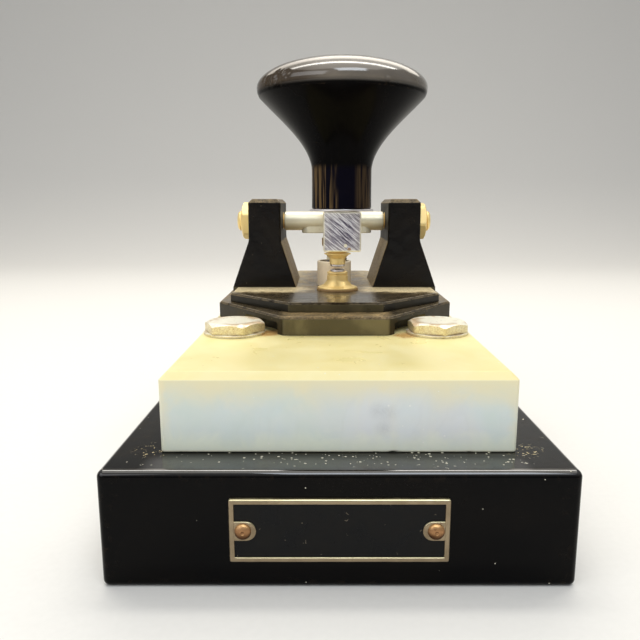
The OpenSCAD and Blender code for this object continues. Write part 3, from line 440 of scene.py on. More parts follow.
def mesh_of(name, parts):
    """A mesh of one or more sets of rings; a set is (rings, ends) with ends "capped", "looped" or "open".

    Each ring is joined to the next by quads. Capped ends get one face each, looped rings join up, and
    open ends get nothing, because their last rings are points on the axis.
    """
    vertices, faces = [], []
    for rings, ends in parts:
        count, around = rings.shape[:2]
        first = sum(len(v) for v in vertices)
        vertices.append(rings.reshape(-1, 3))
        last = count if ends == "looped" else count - 1
        i = np.arange(last)[:, None]
        j = np.arange(around)[None, :]
        k, after = (j + 1) % around, (i + 1) % count
        quads = np.stack([i * around + j, i * around + k, after * around + k, after * around + j], -1)
        faces += (quads.reshape(-1, 4) + first).tolist()
        if ends == "capped":
            faces.append((first + np.arange(around)[::-1]).tolist())
            faces.append((first + (count - 1) * around + np.arange(around)).tolist())
    mesh = bpy.data.meshes.new(name)
    mesh.from_pydata(np.concatenate(vertices).tolist(), [], faces)
    work = bmesh.new()
    work.from_mesh(mesh)
    bmesh.ops.remove_doubles(work, verts=work.verts, dist=1e-6)
    bmesh.ops.dissolve_degenerate(work, edges=work.edges, dist=1e-7)
    bmesh.ops.recalc_face_normals(work, faces=work.faces)
    work.to_mesh(mesh)
    work.free()
    return mesh


def mark_edges(mesh):
    """Stores how sharply the surface bends outwards at each point, from 0 to 1, as the attribute "edge".

    Along each mesh edge the bend is the change of the normal along the edge over the edge's length, and
    a point takes the largest of its edges. A bend of radius EDGE_SHARP or less gives 1.
    """
    count = len(mesh.vertices)
    place, normal, ends = np.zeros(count * 3), np.zeros(count * 3), np.zeros(len(mesh.edges) * 2, int)
    mesh.vertices.foreach_get("co", place)
    mesh.vertices.foreach_get("normal", normal)
    mesh.edges.foreach_get("vertices", ends)
    place, normal, ends = place.reshape(-1, 3), normal.reshape(-1, 3), ends.reshape(-1, 2)
    step, swing = place[ends[:, 1]] - place[ends[:, 0]], normal[ends[:, 1]] - normal[ends[:, 0]]
    bend = (step * swing).sum(1) / np.maximum((step ** 2).sum(1), 1e-12)
    most = np.zeros(count)
    np.maximum.at(most, ends[:, 0], bend)
    np.maximum.at(most, ends[:, 1], bend)
    edge = np.clip(most * EDGE_SHARP, 0, 1)
    mesh.attributes.new("edge", "FLOAT", "POINT").data.foreach_set("value", edge.astype(np.float32))


def piece(name, shape, finish, node=None, body="base_assembly",
          at=(0, 0, 0), along=(0, 0, 1), turn=0, sharp=38):
    """A finished piece of the key: its mesh, smooth shading, finish, body and the part that it stands for.

    The shape is a mesh, or the sets of rings for one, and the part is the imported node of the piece's own
    name where none is given. The points before the piece is set in place are kept as the attribute "own",
    for marks that follow its axis.
    """
    mesh = shape if isinstance(shape, bpy.types.Mesh) else mesh_of(name, shape)
    points = np.zeros(len(mesh.vertices) * 3)
    mesh.vertices.foreach_get("co", points)
    mesh.attributes.new("own", "FLOAT_VECTOR", "POINT").data.foreach_set("vector", points.astype(np.float32))
    mesh.vertices.foreach_set("co", placed(points.reshape(-1, 3), at, along, turn).ravel().astype(np.float32))
    mesh.update()
    mesh.shade_smooth()
    mesh.set_sharp_from_angle(angle=math.radians(sharp))
    mark_edges(mesh)
    mesh.materials.clear()
    mesh.materials.append(finish)
    made = bpy.data.objects.new(name, mesh)
    bpy.context.scene.collection.objects.link(made)
    made.modifiers.new("even_normals", "WEIGHTED_NORMAL").keep_sharp = True
    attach(made, body)
    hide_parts(node or name)
    return made


def lathe(name, line, around, finish, ends="open", **rest):
    """A piece that is one profile turned about its axis."""
    return piece(name, [(turned(line, around), ends)], finish, **rest)


def cut_away(name, solid_parts, cutter_parts):
    """The mesh of one set of closed rings less another, by an exact cut."""
    solid = bpy.data.objects.new(name, mesh_of(name, solid_parts))
    cutter = bpy.data.objects.new(name + "_cutter", mesh_of(name + "_cutter", cutter_parts))
    for each in (solid, cutter):
        bpy.context.scene.collection.objects.link(each)
    cut = solid.modifiers.new("cut", "BOOLEAN")
    cut.operation, cut.solver, cut.object = "DIFFERENCE", "EXACT", cutter
    mesh = bpy.data.meshes.new_from_object(solid.evaluated_get(bpy.context.evaluated_depsgraph_get()))
    for each in (solid, cutter):
        bpy.data.objects.remove(each)
    return mesh


def round_place(node):
    """Middle x and y, lowest and highest z, and radius of an upright round part, from its box."""
    low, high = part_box(node)
    return (low.x + high.x) / 2, (low.y + high.y) / 2, low.z, high.z, (high.x - low.x) / 2


# Finishes: helpers

def rgb(red, green, blue):
    """A colour written in screen values from 0 to 255, as the linear values that a socket takes."""
    c = np.array([red, green, blue]) / 255
    return (*np.where(c <= 0.04045, c / 12.92, ((c + 0.055) / 1.055) ** 2.4).tolist(), 1.0)


def fill(socket, value):
    """Links a value to a socket, or sets the socket to a plain number or colour."""
    if isinstance(value, Value):
        socket.id_data.links.new(value.socket, socket)
    else:
        socket.default_value = value


class Value:
    """What a node puts out. Each sum, product, comparison or span of it adds one node."""

    def __init__(self, socket):
        self.socket = socket
        self.nodes = Nodes(socket.id_data)

    def by(self, operation, other=0.0):
        """One arithmetic node on this and another value, with its result kept as it is."""
        return self.nodes.add("Math", {0: self, 1: other}, operation=operation)

    def __add__(self, other):
        return self.by("ADD", other)

    def __sub__(self, other):
        return self.by("SUBTRACT", other)

    def __rsub__(self, other):
        return self.nodes.add("Math", {0: other, 1: self}, operation="SUBTRACT")

    def __mul__(self, other):
        return self.by("MULTIPLY", other)

    def __lt__(self, other):
        return self.by("LESS_THAN", other)

    def __gt__(self, other):
        return self.by("GREATER_THAN", other)

    def __abs__(self):
        return self.by("ABSOLUTE")

    def most(self, other):
        """The larger of the two."""
        return self.by("MAXIMUM", other)

    def span(self, low, high, to_low=0.0, to_high=1.0):
        """The value eased from one span into another, and held at both ends."""
        inputs = {"Value": self, "From Min": low, "From Max": high, "To Min": to_low, "To Max": to_high}
        return self.nodes.add("MapRange", inputs, interpolation_type="SMOOTHSTEP")


class Nodes:
    """The nodes of one shared effect or one material, with short calls for what most of them use."""

    def __init__(self, tree):
        self.tree = tree

    def add(self, kind, inputs=None, outputs=(0,), **settings):
        """Adds a shader node with its settings and inputs, and returns the outputs that are asked for."""
        made = self.tree.nodes.new("ShaderNode" + kind)
        for name, value in settings.items():
            setattr(made, name, value)
        for name, value in (inputs or {}).items():
            fill(made.inputs[name], value)
        values = [Value(made.outputs[name]) for name in outputs]
        return values[0] if len(values) == 1 else values

    def use(self, group, **inputs):
        """Places a shared effect with values of its own."""
        return self.add("Group", inputs, node_tree=group)

    def mixed(self, factor, a, b):
        """A colour between a and b by a factor."""
        return self.add("Mix", {0: factor, 6: a, 7: b}, (2,), data_type="RGBA")

    def at(self):
        """The place in the object's own coordinates, in metres."""
        return self.add("TexCoord", outputs=("Object",))

    def axes(self, vector):
        """The separate x, y and z of a vector."""
        return self.add("SeparateXYZ", {0: vector}, (0, 1, 2))

    def facing(self):
        """The surface's direction in the object's own frame, as x, y and z."""
        return self.axes(self.add("TexCoord", outputs=("Normal",)))

    def own(self):
        """The place before the piece was set in its own place, as x, y and z."""
        return self.axes(self.add("Attribute", outputs=("Vector",), attribute_name="own"))

    def from_axis(self):
        """The distance from the piece's own axis."""
        x, y, _ = self.own()
        return (x * x + y * y).by("SQRT")

    def noise(self, scale, detail=3.0, roughness=0.5, distortion=0.0, vector=None):
        """A smooth noise of the place, or of another vector."""
        inputs = {"Vector": vector or self.at(), "Scale": scale, "Detail": detail, "Roughness": roughness,
                  "Distortion": distortion}
        return self.add("TexNoise", inputs)

    def near(self, place, reach):
        """1 at a place in the object's frame, easing to 0 at a distance from it."""
        away = self.add("VectorMath", {0: self.at(), 1: place}, ("Value",), operation="DISTANCE")
        return away.span(0.0, reach, 1.0, 0.0)

    def drawn(self, axis, angle, stretch):
        """The place turned about an axis and multiplied, so that a noise of it runs in long lines."""
        turned_at = self.add("VectorRotate", {"Vector": self.at(), "Axis": axis, "Angle": angle})
        return self.add("VectorMath", {0: turned_at, 1: stretch}, operation="MULTIPLY")


class Finish(Nodes):
    """A material as it is built up: its nodes and its colour so far."""

    def __init__(self, name, slot):
        self.material = bpy.data.materials.new(name)
        self.material.use_nodes = True
        self.material["slot"] = slot
        self.body = None
        super().__init__(self.material.node_tree)

    def lay(self, mask, *colour):
        """Lays a colour, in screen values, over the colour so far by a mask."""
        self.body = self.mixed(mask, self.body, rgb(*colour))

    def done(self, surface, height=None, depth=0.0):
        """Feeds the colour, the surface's sockets and a height bumped by a depth in metres to the shader."""
        shader = self.tree.nodes["Principled BSDF"]
        fill(shader.inputs["Base Color"], self.body)
        for name, value in surface.items():
            fill(shader.inputs[name], value)
        if height is not None:
            bump = self.add("Bump", {"Height": height, "Distance": depth, "Strength": 1.0})
            fill(shader.inputs["Normal"], bump)
        return self.material


# Finishes: shared effects

def effect(output="Mask", **inputs):
    """Turns a function into a shared effect with its name, and with inputs by name and usual value.

    The function takes the effect's nodes and its inputs in their order, and returns what it puts out.
    """
    def made_from(work):
        tree = bpy.data.node_groups.new(work.__name__, "ShaderNodeTree")
        for label, value in inputs.items():
            socket = tree.interface.new_socket(label, in_out="INPUT", socket_type="NodeSocketFloat")
            socket.default_value = value
        tree.interface.new_socket(output, in_out="OUTPUT", socket_type="NodeSocketFloat")
        given = tree.nodes.new("NodeGroupInput").outputs
        result = work(Nodes(tree), *[Value(given[label]) for label in inputs])
        fill(tree.nodes.new("NodeGroupOutput").inputs[0], result)
        return tree
    return made_from


@effect(Scale=500.0, Amount=0.2, Size=0.2)
def specks(nodes, scale, amount, size):
    """Round specks: a point is in one where it lies near enough to a random cell's centre."""
    colour, away = nodes.add("TexVoronoi", {"Vector": nodes.at(), "Scale": scale}, ("Color", "Distance"))
    chance, reach = nodes.add("SeparateColor", {0: colour}, (0, 1))
    return (chance < amount) * (away < reach * size)


@effect(Scale=120.0, Width=0.006, Amount=0.4)
def fibres(nodes, scale, width, amount):
    """Thin curled lines, such as dust threads: where one noise crosses its middle and another is high."""
    on_line = abs(nodes.noise(scale, 1.0) - 0.5) < width
    return on_line * (nodes.noise(scale * 1.7, 0.0) > 0.85 - amount * 0.5)


@effect(Scale=300.0, Amount=0.5)
def settled_dust(nodes, scale, amount):
    """Dust on what faces up: the upward share of the surface's direction times a coarse and a fine noise."""
    up = nodes.facing()[2].span(0.35, 0.97)
    grain = nodes.noise(scale, 4.0, 0.6) * 0.65 + nodes.noise(scale * 7.0, 2.0, 0.7) * 0.35
    return up * (grain + amount - 0.75).span(0.0, 0.45)


@effect(Scale=400.0, Amount=0.5)
def edge_wear(nodes, scale, amount):
    """Bare or pale edges: the mesh's edge value thinned by a noise."""
    edge = nodes.add("Attribute", outputs=("Fac",), attribute_name="edge")
    rubbed = nodes.noise(scale, 4.0, 0.65) + (amount - 0.5)
    return edge * rubbed.span(0.4, 0.62)


@effect("Value", Scale=60.0, Distortion=0.6)
def clouds(nodes, scale, distortion):
    """Slow patches: a noise in several sizes, spread to use the whole span from 0 to 1."""
    return nodes.noise(scale, 5.0, 0.55, distortion).span(0.3, 0.7)


@effect(Scale=900.0, Angle=0.6, Amount=0.4)
def scratches(nodes, scale, angle, amount):
    """Fine straight scratches: a noise stretched along one slanted line, kept where it is high."""
    drawn = nodes.drawn((0.3, 1.0, 0.2), angle, (1.0, 0.04, 0.04))
    low = 0.85 - amount * 0.4
    return nodes.noise(scale, 2.0, 0.6, vector=drawn).span(low, low + 0.06)


@effect("Height", Scale=6000.0)
def turning_marks(nodes, scale):
    """Rings left by a lathe: a noise of the distance from the piece's own axis and of the height along it."""
    rings = nodes.add("CombineXYZ", {"X": nodes.from_axis(), "Y": nodes.own()[2]})
    return nodes.noise(scale, 2.0, 0.7, vector=rings)


# Finishes: materials. In each, m is the material as it is built up.

def base_marks(m, fluff):
    """Grit along the slab's front foot, lint, and tufts of thread at the slab's front corners.

    Returns the fluff with the grit and lint in it, and how polished each place is.
    """
    x, y, _ = m.axes(m.at())
    faces_up = m.facing()[2]
    up = faces_up.span(0.25, 0.85)
    strip = y.span(GRIT_FROM_Y, GRIT_TO_Y) * y.span(GRIT_TO_Y + 6 * MM, GRIT_TO_Y + 16 * MM, 1.0, 0.1)
    sides = abs(x).span(GRIT_HALF_X - 2 * MM, GRIT_HALF_X + 3 * MM, 1.0, 0.0)
    thicker = x.span(-GRIT_HALF_X, 0.4 * GRIT_HALF_X, 0.08, 0.32)
    grit = m.use(specks, Scale=1600.0, Amount=thicker, Size=0.42) * up * (strip * sides)
    lint = m.use(fibres, Scale=430.0, Width=0.01, Amount=0.12) * up
    hair = m.use(fibres, Scale=700.0, Width=0.016, Amount=0.35)
    threads = hair.most(m.use(specks, Scale=2200.0, Amount=0.45, Size=0.5))
    for corner in SLAB_CORNERS:
        tuft = m.near(corner, TUFT_REACH) * m.noise(900.0, 3.0, 0.6)
        m.lay(tuft.span(0.1, 0.4) * threads * up * 0.8, 206, 190, 146)
    before_slab = sides * y.span(GRIT_TO_Y, GRIT_TO_Y + 5 * MM, 1.0, 0.0)
    beside = x.span(-GRIT_HALF_X, GRIT_HALF_X, 0.1, 0.45)
    on_edge = faces_up.span(0.9, 0.99, 1.0, 0.0)
    return fluff.most(grit.most(lint)), up * on_edge.most(before_slab.most(beside))


def knob_marks(m, patches):
    """A dusty film on the dome with a painted reflection in it, warmer to the left, and on the stem a painted
    bluish reflection with painted brown reflection streaks; returns the dome's polish.
    """
    x, y, z = m.own()
    on_dome = z.span(DOME_Z - 1.2 * MM, DOME_Z - 0.2 * MM)
    # The dome's tint is partly dust and partly a painted reflection of the room: brown to the left,
    # grey-beige to the right.
    haze_and_reflection = m.mixed(x.span(*KNOB_HAZE_REFLECTION_X), rgb(80, 63, 42), rgb(140, 128, 112))
    m.body = m.mixed(on_dome * patches.span(0.0, 1.0, 0.35, 0.6), m.body, haze_and_reflection)
    on_stem = z.span(KNOB_STEM_H, KNOB_STEM_H + 1.5 * MM, 1.0, 0.0)
    drawn = m.add("CombineXYZ", {"X": x, "Y": y * 0.3, "Z": z * 0.03})
    reflected_streaks = m.noise(1100.0, 3.0, 0.7, vector=drawn).span(0.45, 0.6)
    aside = x.span(*STEM_LEFT_X, 1.0, 0.0).most(x.span(*STEM_RIGHT_X, 0.0, 0.4))
    # Painted reflection: the stem is tinted navy, and brown streaks to its left and right stand for reflected
    # surroundings.
    m.lay(on_stem * 0.6, 14, 13, 26)
    m.lay(reflected_streaks * aside * on_stem * 0.6, 124, 101, 68)
    return on_dome * x.span(*KNOB_POLISH_X, 0.5, 1.0)


def black_moulding(name, slot, settled, gloss, specked):
    """Glossy black moulding: faint brown clouds, dust on what faces up, specks and hairline scratches."""
    m = Finish(name, slot)
    is_base = slot == "base_moulding"
    patches = m.use(clouds, Scale=38.0)
    m.body = m.mixed(patches, rgb(3, 3, 4), rgb(9, 7, 6))
    film = m.use(settled_dust, Scale=150.0, Amount=settled)
    fluff = m.use(specks, Scale=1500.0, Amount=specked, Size=0.22)
    m.lay(film * 0.3, 96, 84, 64)
    m.lay(m.use(edge_wear, Scale=700.0, Amount=0.4) * 0.3, 84, 68, 50)
    if is_base:
        fluff, polish = base_marks(m, fluff)
    else:
        polish = knob_marks(m, patches)
    m.lay(fluff * 0.8, 220, 216, 196)
    lines = m.use(scratches, Scale=2200.0, Angle=0.7, Amount=0.22)
    surface = {
        "Roughness": patches * 0.03 + film * 0.3 + lines * 0.06 + fluff * 0.5 + gloss,
        "Specular IOR Level": 0.08 if is_base else 0.03,
        "Coat Weight": polish * (1.0 - fluff.most(film * 0.5)),
        "Coat Roughness": gloss,
        "Coat IOR": 2.0,
    }
    height = m.noise(160.0, 2.0) + m.noise(1500.0, 1.0) * 0.05 - lines * 0.05
    return m.done(surface, height, 0.03 * MM)


def make_marble():
    """Cream marble: soft clouds, a top painted warm and pale for yellowing and for painted light from above,
    warm rims, a foot painted paler as painted light against the shade there, rust by the bolts, tiny pits and
    grit.
    """
    m = Finish("cream_marble", "marble")
    x, _, z = m.axes(m.at())
    small = m.use(clouds, Scale=130.0, Distortion=0.5)
    m.body = m.mixed(m.use(clouds, Scale=26.0, Distortion=1.2), rgb(213, 227, 222), rgb(222, 232, 237))
    m.lay(small * 0.35, 232, 234, 228)
    m.lay(m.noise(34.0, 2.0).span(0.52, 0.7) * 0.4, 226, 222, 228)
    vein = abs(m.noise(26.0, 4.0, 0.55, 1.4) - 0.5).span(0.0, 0.03, 1.0, 0.0)
    m.lay(vein * 0.03, 150, 152, 146)
    wander = small * MARBLE_WANDER
    m.lay((z + wander).span(*MARBLE_RIM_Z) * 0.85, 244, 233, 188)
    m.lay((abs(x) + wander).span(*MARBLE_SIDE_X) * 0.3, 242, 230, 190)
    # Painted light: the marble is painted paler towards its foot, to offset the shade that falls there.
    m.lay((z - wander).span(*MARBLE_LIT_FOOT_Z, 1.0, 0.0) * 0.7, 248, 254, 232)
    # Faces that look up are painted warmer and paler: partly the marble's yellowing, partly painted light
    # from above.
    yellowed_and_lit_top = m.mixed(small, rgb(250, 235, 166), rgb(252, 240, 182))
    m.body = m.mixed(m.facing()[2].span(0.3, 0.9), m.body, yellowed_and_lit_top)
    for spot, reach, strength in STAINS:
        stain = m.near(spot, reach) * (m.noise(420.0, 4.0, 0.6) * 1.5)
        m.lay(stain.span(0.12, 0.6) * strength, 188, 128, 56)
    mottle = m.noise(1500.0, 4.0, 0.7).span(0.3, 0.7, 0.5, 1.0)
    for spot in MARBLE_SMUDGES:
        m.lay(m.near(spot, SMUDGE_REACH) * mottle * 0.3, 158, 162, 168)
    m.lay(m.use(specks, Scale=760.0, Amount=0.08, Size=0.18) * 0.5, 252, 252, 248)
    grit = m.use(specks, Scale=420.0, Amount=0.05, Size=0.09)
    m.lay(grit * 0.6, 110, 100, 84)
    worn = m.use(edge_wear, Scale=500.0, Amount=0.7)
    m.lay(worn * 0.35, 250, 240, 200)
    surface = {
        "Roughness": small * 0.1 + worn * 0.2 + 0.26,
        "Specular IOR Level": 0.35,
        "Subsurface Weight": 0.1,
        "Subsurface Radius": (1.0, 0.9, 0.7),
        "Subsurface Scale": 1.5 * MM,
    }
    return m.done(surface, m.noise(90.0) * 0.6 - grit * 0.5, 0.06 * MM)


def make_frame_enamel():
    """Black-brown stoved enamel over a casting: fine lumps, dust on ledges and slopes, a film low down.

    The dust is thickest on the upper tier's top, round the posts' feet, with a ragged front edge; round the
    posts' feet it is painted near white, as dust and as painted light against the shade of the knob and
    lever. The posts' inner slopes get dust and a painted highlight.
    """
    m = Finish("stoved_enamel", "frame_enamel")
    x, y, z = m.axes(m.at())
    facing_x, facing_y, facing_z = m.facing()
    patches = m.use(clouds, Scale=110.0)
    m.body = m.mixed(patches, rgb(11, 9, 9), rgb(22, 17, 12))
    grain = m.noise(2300.0, 3.0, 0.7).span(0.38, 0.62, 0.4, 1.0)
    low_down = z.span(LEDGE_Z - 0.6 * MM, LEDGE_Z + 0.2 * MM, 0.95, 0.55)
    below_top = z.span(TIER_TOP_Z, TIER_TOP_Z + 0.2 * MM, 1.0, 0.0)
    film = low_down * below_top * facing_z.span(0.1, 0.6, 1.0, 0.0)
    film = film * patches.span(0.0, 1.0, 0.6, 1.0) * facing_y.span(-0.98, -0.8, 1.0, 0.2)
    m.lay(film, 124, 114, 82)
    on_ledge = z.span(LEDGE_Z, LEDGE_Z + 0.4 * MM, 1.0, 0.0)
    middle = abs(x).span(*MIDDLE_DUST_X, 1.0, 0.14)
    towards_back = y.span(DUST_FROM_Y, DUST_TO_Y, 0.15, 0.75)
    dusty = m.use(settled_dust, Scale=330.0, Amount=0.5) * (on_ledge * middle).most(towards_back)
    m.lay(dusty * (grain * 0.95), 212, 182, 130)
    ragged = (m.noise(260.0, 4.0, 0.6) - 0.5) * (9 * MM)
    by_posts = (y + ragged).span(*POST_DUST_AND_LIGHT_Y) * below_top
    by_posts = by_posts * (abs(x) + ragged).span(*POST_DUST_AND_LIGHT_X) * facing_z.span(0.5, 0.9)
    by_posts = by_posts * z.span(TIER_TOP_Z - 0.4 * MM, TIER_TOP_Z - 0.2 * MM)
    by_posts = by_posts * y.span(*POST_DUST_AND_LIGHT_END_Y, 1.0, 0.3)
    # Dust round the posts' feet, painted near white: partly dust, partly painted light that offsets the shade
    # of the knob and lever there.
    m.lay(by_posts * grain.span(0.4, 1.0, 0.6, 1.0), 255, 236, 190)
    # The posts' inner slopes, facing the middle, are painted pale: dust and a painted highlight.
    sloped = facing_z.span(0.12, 0.26) * facing_z.span(0.5, 0.7, 1.0, 0.0) * abs(facing_x).span(0.6, 0.85)
    sloped = sloped * (x * facing_x).span(-MM, MM, 1.0, 0.08)
    m.lay(sloped * (grain * 0.85), 184, 164, 130)
    m.lay(m.use(edge_wear, Scale=620.0, Amount=0.55) * facing_z.span(0.15, 0.5) * 0.45, 158, 142, 112)
    m.lay(m.use(specks, Scale=1100.0, Amount=0.1, Size=0.2) * 0.4, 170, 156, 126)
    sideways = abs(facing_x).span(0.6, 0.95)
    surface = {
        "Roughness": dusty * 0.35 + patches * 0.1 + sideways * 0.28 + film * 0.2 + 0.2,
        "Specular IOR Level": 0.2,
        "Coat Weight": facing_z.span(0.8, 0.97, 0.0, 0.35) * (1.0 - dusty * 0.8),
        "Coat Roughness": 0.12,
    }
    return m.done(surface, m.noise(330.0) + m.noise(1900.0, 2.0) * 0.12, 0.09 * MM)


def metal(name, slot, bright, dull, rough, tarnish, marks=0.006 * MM, metallic=1.0, above=None, below=None):
    """A bare metal: two tones in clouds, tarnish spots, lathe rings, scratches and brighter edges.

    Faces that look up may get a painted highlight in a colour of its own, and faces that look down a painted
    shade.
    """
    m = Finish(name, slot)
    stained = m.use(clouds, Scale=260.0, Distortion=0.8) * m.use(clouds, Scale=70.0) * tarnish
    spots = m.use(specks, Scale=900.0, Amount=0.12, Size=0.3)
    m.body = m.mixed(stained, rgb(*bright), rgb(*dull))
    m.lay(spots * (tarnish * 0.7), *dull)
    m.lay(m.use(edge_wear, Scale=900.0, Amount=0.6) * 0.5, *bright)
    # Painted highlight on faces that look up.
    if above:
        m.lay(m.facing()[2].span(0.2, 0.7), *above)
    # Painted shade on faces that look down.
    if below:
        m.lay(m.facing()[2].span(-0.45, 0.2, 0.9, 0.0), *below)
    lines = m.use(scratches, Scale=2600.0, Angle=1.1, Amount=0.3)
    rings = m.use(turning_marks, Scale=7000.0)
    harsh = stained * 0.25 + spots * 0.15 + (rings - 0.5) * 0.1 + lines * 0.12 + rough
    return m.done({"Metallic": metallic, "Roughness": harsh}, rings - lines * 0.5, marks)


def make_lever_nickel():
    """Worn nickel of the lever: slanted saw lines on its end face, partly sawn marks and partly painted
    glints, and two small spots there.
    """
    m = Finish("sawn_nickel", "nickel")
    patches = m.use(clouds, Scale=190.0, Distortion=0.8)
    end = m.facing()[1].span(-0.9, -0.7, 1.0, 0.0)
    side = m.mixed(patches, rgb(206, 193, 157), rgb(184, 169, 130))
    m.body = m.mixed(patches, rgb(138, 131, 144), rgb(84, 77, 94))
    drawn = m.drawn((0.0, 1.0, 0.0), math.radians(SAW_ANGLE), (0.06, 0.06, 1.0))
    cuts = m.noise(4000.0, 3.0, 0.8, vector=drawn)
    # The saw lines are painted near white: partly the sawn marks, partly painted glints of light along them.
    m.lay(cuts.span(0.42, 0.62) * 0.85, 244, 242, 244)
    m.body = m.mixed(end, side, m.body)
    for spot, colour in LEVER_SPOTS:
        m.body = m.mixed(m.near(spot, LEVER_SPOT_REACH).span(0.2, 0.6), m.body, colour)
    m.lay(m.use(edge_wear, Scale=600.0, Amount=0.8) * 0.7, 240, 232, 208)
    lines = m.use(scratches, Scale=1900.0, Angle=0.2, Amount=0.3)
    surface = {"Metallic": 1.0, "Roughness": end * 0.2 + patches * 0.12 + 0.24}
    return m.done(surface, cuts * end + lines * -0.1, 0.07 * MM)


def make_bolt_nickel():
    """Yellowed nickel of the slab's bolts and washers: a top painted near white in the middle as a painted
    highlight, tan ends, grainy sides, and a foot darkened by grime and painted contact shade.
    """
    m = Finish("yellowed_nickel", "nickel")
    grain = m.noise(2600.0, 3.0, 0.7).span(0.35, 0.65)
    blotch = m.use(clouds, Scale=190.0, Distortion=0.8)
    ends = m.from_axis().span(*BOLT_TAN_R) * blotch.span(0.25, 0.75)
    # Painted highlight: faces that look up are painted near white in the middle, with tan stains towards
    # their ends.
    top = m.mixed(ends, rgb(255, 253, 236), rgb(206, 176, 134))
    m.body = m.mixed(grain, rgb(222, 198, 140), rgb(252, 240, 190))
    m.body = m.mixed(m.facing()[2].span(0.4, 0.9), m.body, top)
    # The lowest half millimetre of each head and washer is darkened: grime and painted contact shade where it
    # meets the part below.
    m.lay(m.own()[2].span(0.0, 0.5 * MM, 1.0, 0.0) * blotch.span(0.2, 0.8, 0.25, 0.9), 124, 98, 66)
    m.lay(m.use(specks, Scale=1300.0, Amount=0.3, Size=0.3) * 0.4, 150, 128, 92)
    m.lay(m.use(edge_wear, Scale=700.0, Amount=0.6) * 0.5, 255, 252, 236)
    surface = {"Metallic": 0.5, "Roughness": grain * 0.15 + 0.3}
    return m.done(surface, m.use(turning_marks, Scale=5000.0) * 0.5 + grain, 0.03 * MM)


def make_fibre():
    """Hard tan fibre board: a fine felted grain and darker patches."""
    m = Finish("hard_fibre", "fibre")
    felt = m.noise(2400.0, 4.0, 0.7)
    m.body = m.mixed(felt.span(0.3, 0.7), rgb(150, 118, 74), rgb(182, 150, 100))
    m.lay(m.use(clouds, Scale=80.0) * 0.4, 120, 92, 58)
    return m.done({"Roughness": felt.span(0.2, 0.8, 0.5, 0.7)}, felt, 0.05 * MM)


def make_plate_enamel():
    """Black baked paint in the nameplate's field: dull patches, dust and a few pale threads."""
    m = Finish("plate_paint", "plate_enamel")
    patches = m.use(clouds, Scale=240.0)
    m.body = m.mixed(patches, rgb(9, 10, 12), rgb(16, 15, 14))
    dots = m.use(specks, Scale=1100.0, Amount=0.1, Size=0.18)
    lint = m.use(fibres, Scale=600.0, Width=0.012, Amount=0.1)
    m.lay(dots.most(lint) * 0.45, 150, 138, 118)
    surface = {"Roughness": patches * 0.15 + 0.25, "Specular IOR Level": 0.15}
    return m.done(surface, m.noise(900.0), 0.03 * MM)


def make_floor():
    """Pale paper: an even warm white with a faint fibre grain."""
    m = Finish("pale_paper", "floor")
    m.body = m.mixed(m.noise(700.0), rgb(232, 231, 228), rgb(238, 237, 234))
    return m.done({"Roughness": 0.85, "Specular IOR Level": 0.2})


# Stage

def make_stage():
    """A floor that sweeps up behind the key: one line of floor, arc and wall carried along X."""
    line = rounded([(FLOOR_FRONT_Y, 0), (WALL_Y, 0), (WALL_Y, WALL_TOP_Z)], [0, SWEEP_R, 0], 24)
    ends = (-STAGE_HALF_X, STAGE_HALF_X)
    rows = np.stack([np.column_stack([np.full(len(line), x), line]) for x in ends], 1)
    mesh = bpy.data.meshes.new("floor_sweep")
    i = np.arange(len(line) - 1)
    faces = np.stack([2 * i, 2 * i + 1, 2 * i + 3, 2 * i + 2], -1)
    mesh.from_pydata(rows.reshape(-1, 3).tolist(), [], faces.tolist())
    mesh.shade_smooth()
    mesh.materials.append(make_floor())
    sweep = bpy.data.objects.new("floor_sweep", mesh)
    bpy.context.scene.collection.objects.link(sweep)


make_camera()
make_light()
make_stage()

base_black = black_moulding("base_black", "base_moulding", 0.3, 0.06, 0.012)
knob_black = black_moulding("knob_black", "knob_moulding", 0.12, 0.14, 0.0)
marble = make_marble()
enamel = make_frame_enamel()
nickel = metal("polished_nickel", "nickel", (238, 232, 208), (150, 132, 98), 0.27, 0.5)
bolt_nickel = make_bolt_nickel()
trunnion_nickel = metal("trunnion_nickel", "nickel", (255, 250, 226), (224, 206, 168), 0.38, 0.4,
                        metallic=0.3)
satin_nickel = metal("satin_nickel", "nickel", (255, 242, 216), (226, 208, 180), 0.45, 0.4, metallic=0.25)
# The plate's border gets a pale colour on faces that look up, along its top edge: partly rubbed metal, partly
# a painted highlight.
plate_nickel = metal("plate_nickel", "nickel", (156, 140, 115), (102, 86, 66), 0.36, 0.6,
                     above=(255, 244, 200))
lever_nickel = make_lever_nickel()
steel = metal("oiled_steel", "steel", (176, 174, 170), (92, 80, 66), 0.24, 0.6)
brass = metal("old_brass", "brass", (236, 208, 146), (160, 124, 72), 0.28, 0.5)
bright_brass = metal("rubbed_brass", "brass", (255, 226, 154), (236, 198, 126), 0.36, 0.35, metallic=0.4)
silver = metal("contact_silver", "silver", (226, 222, 224), (150, 140, 148), 0.3, 0.5)
# The rivets' domes get a painted highlight on top and a painted shade underneath, over the copper's brown
# patina.
copper = metal("browned_copper_painted_light", "rivet_copper", (178, 134, 94), (80, 54, 38), 0.4, 0.8, 0.02 * MM,
               above=(232, 186, 130), below=(78, 50, 32))
fibre = make_fibre()
plate_paint = make_plate_enamel()


# Base, nameplate and slab

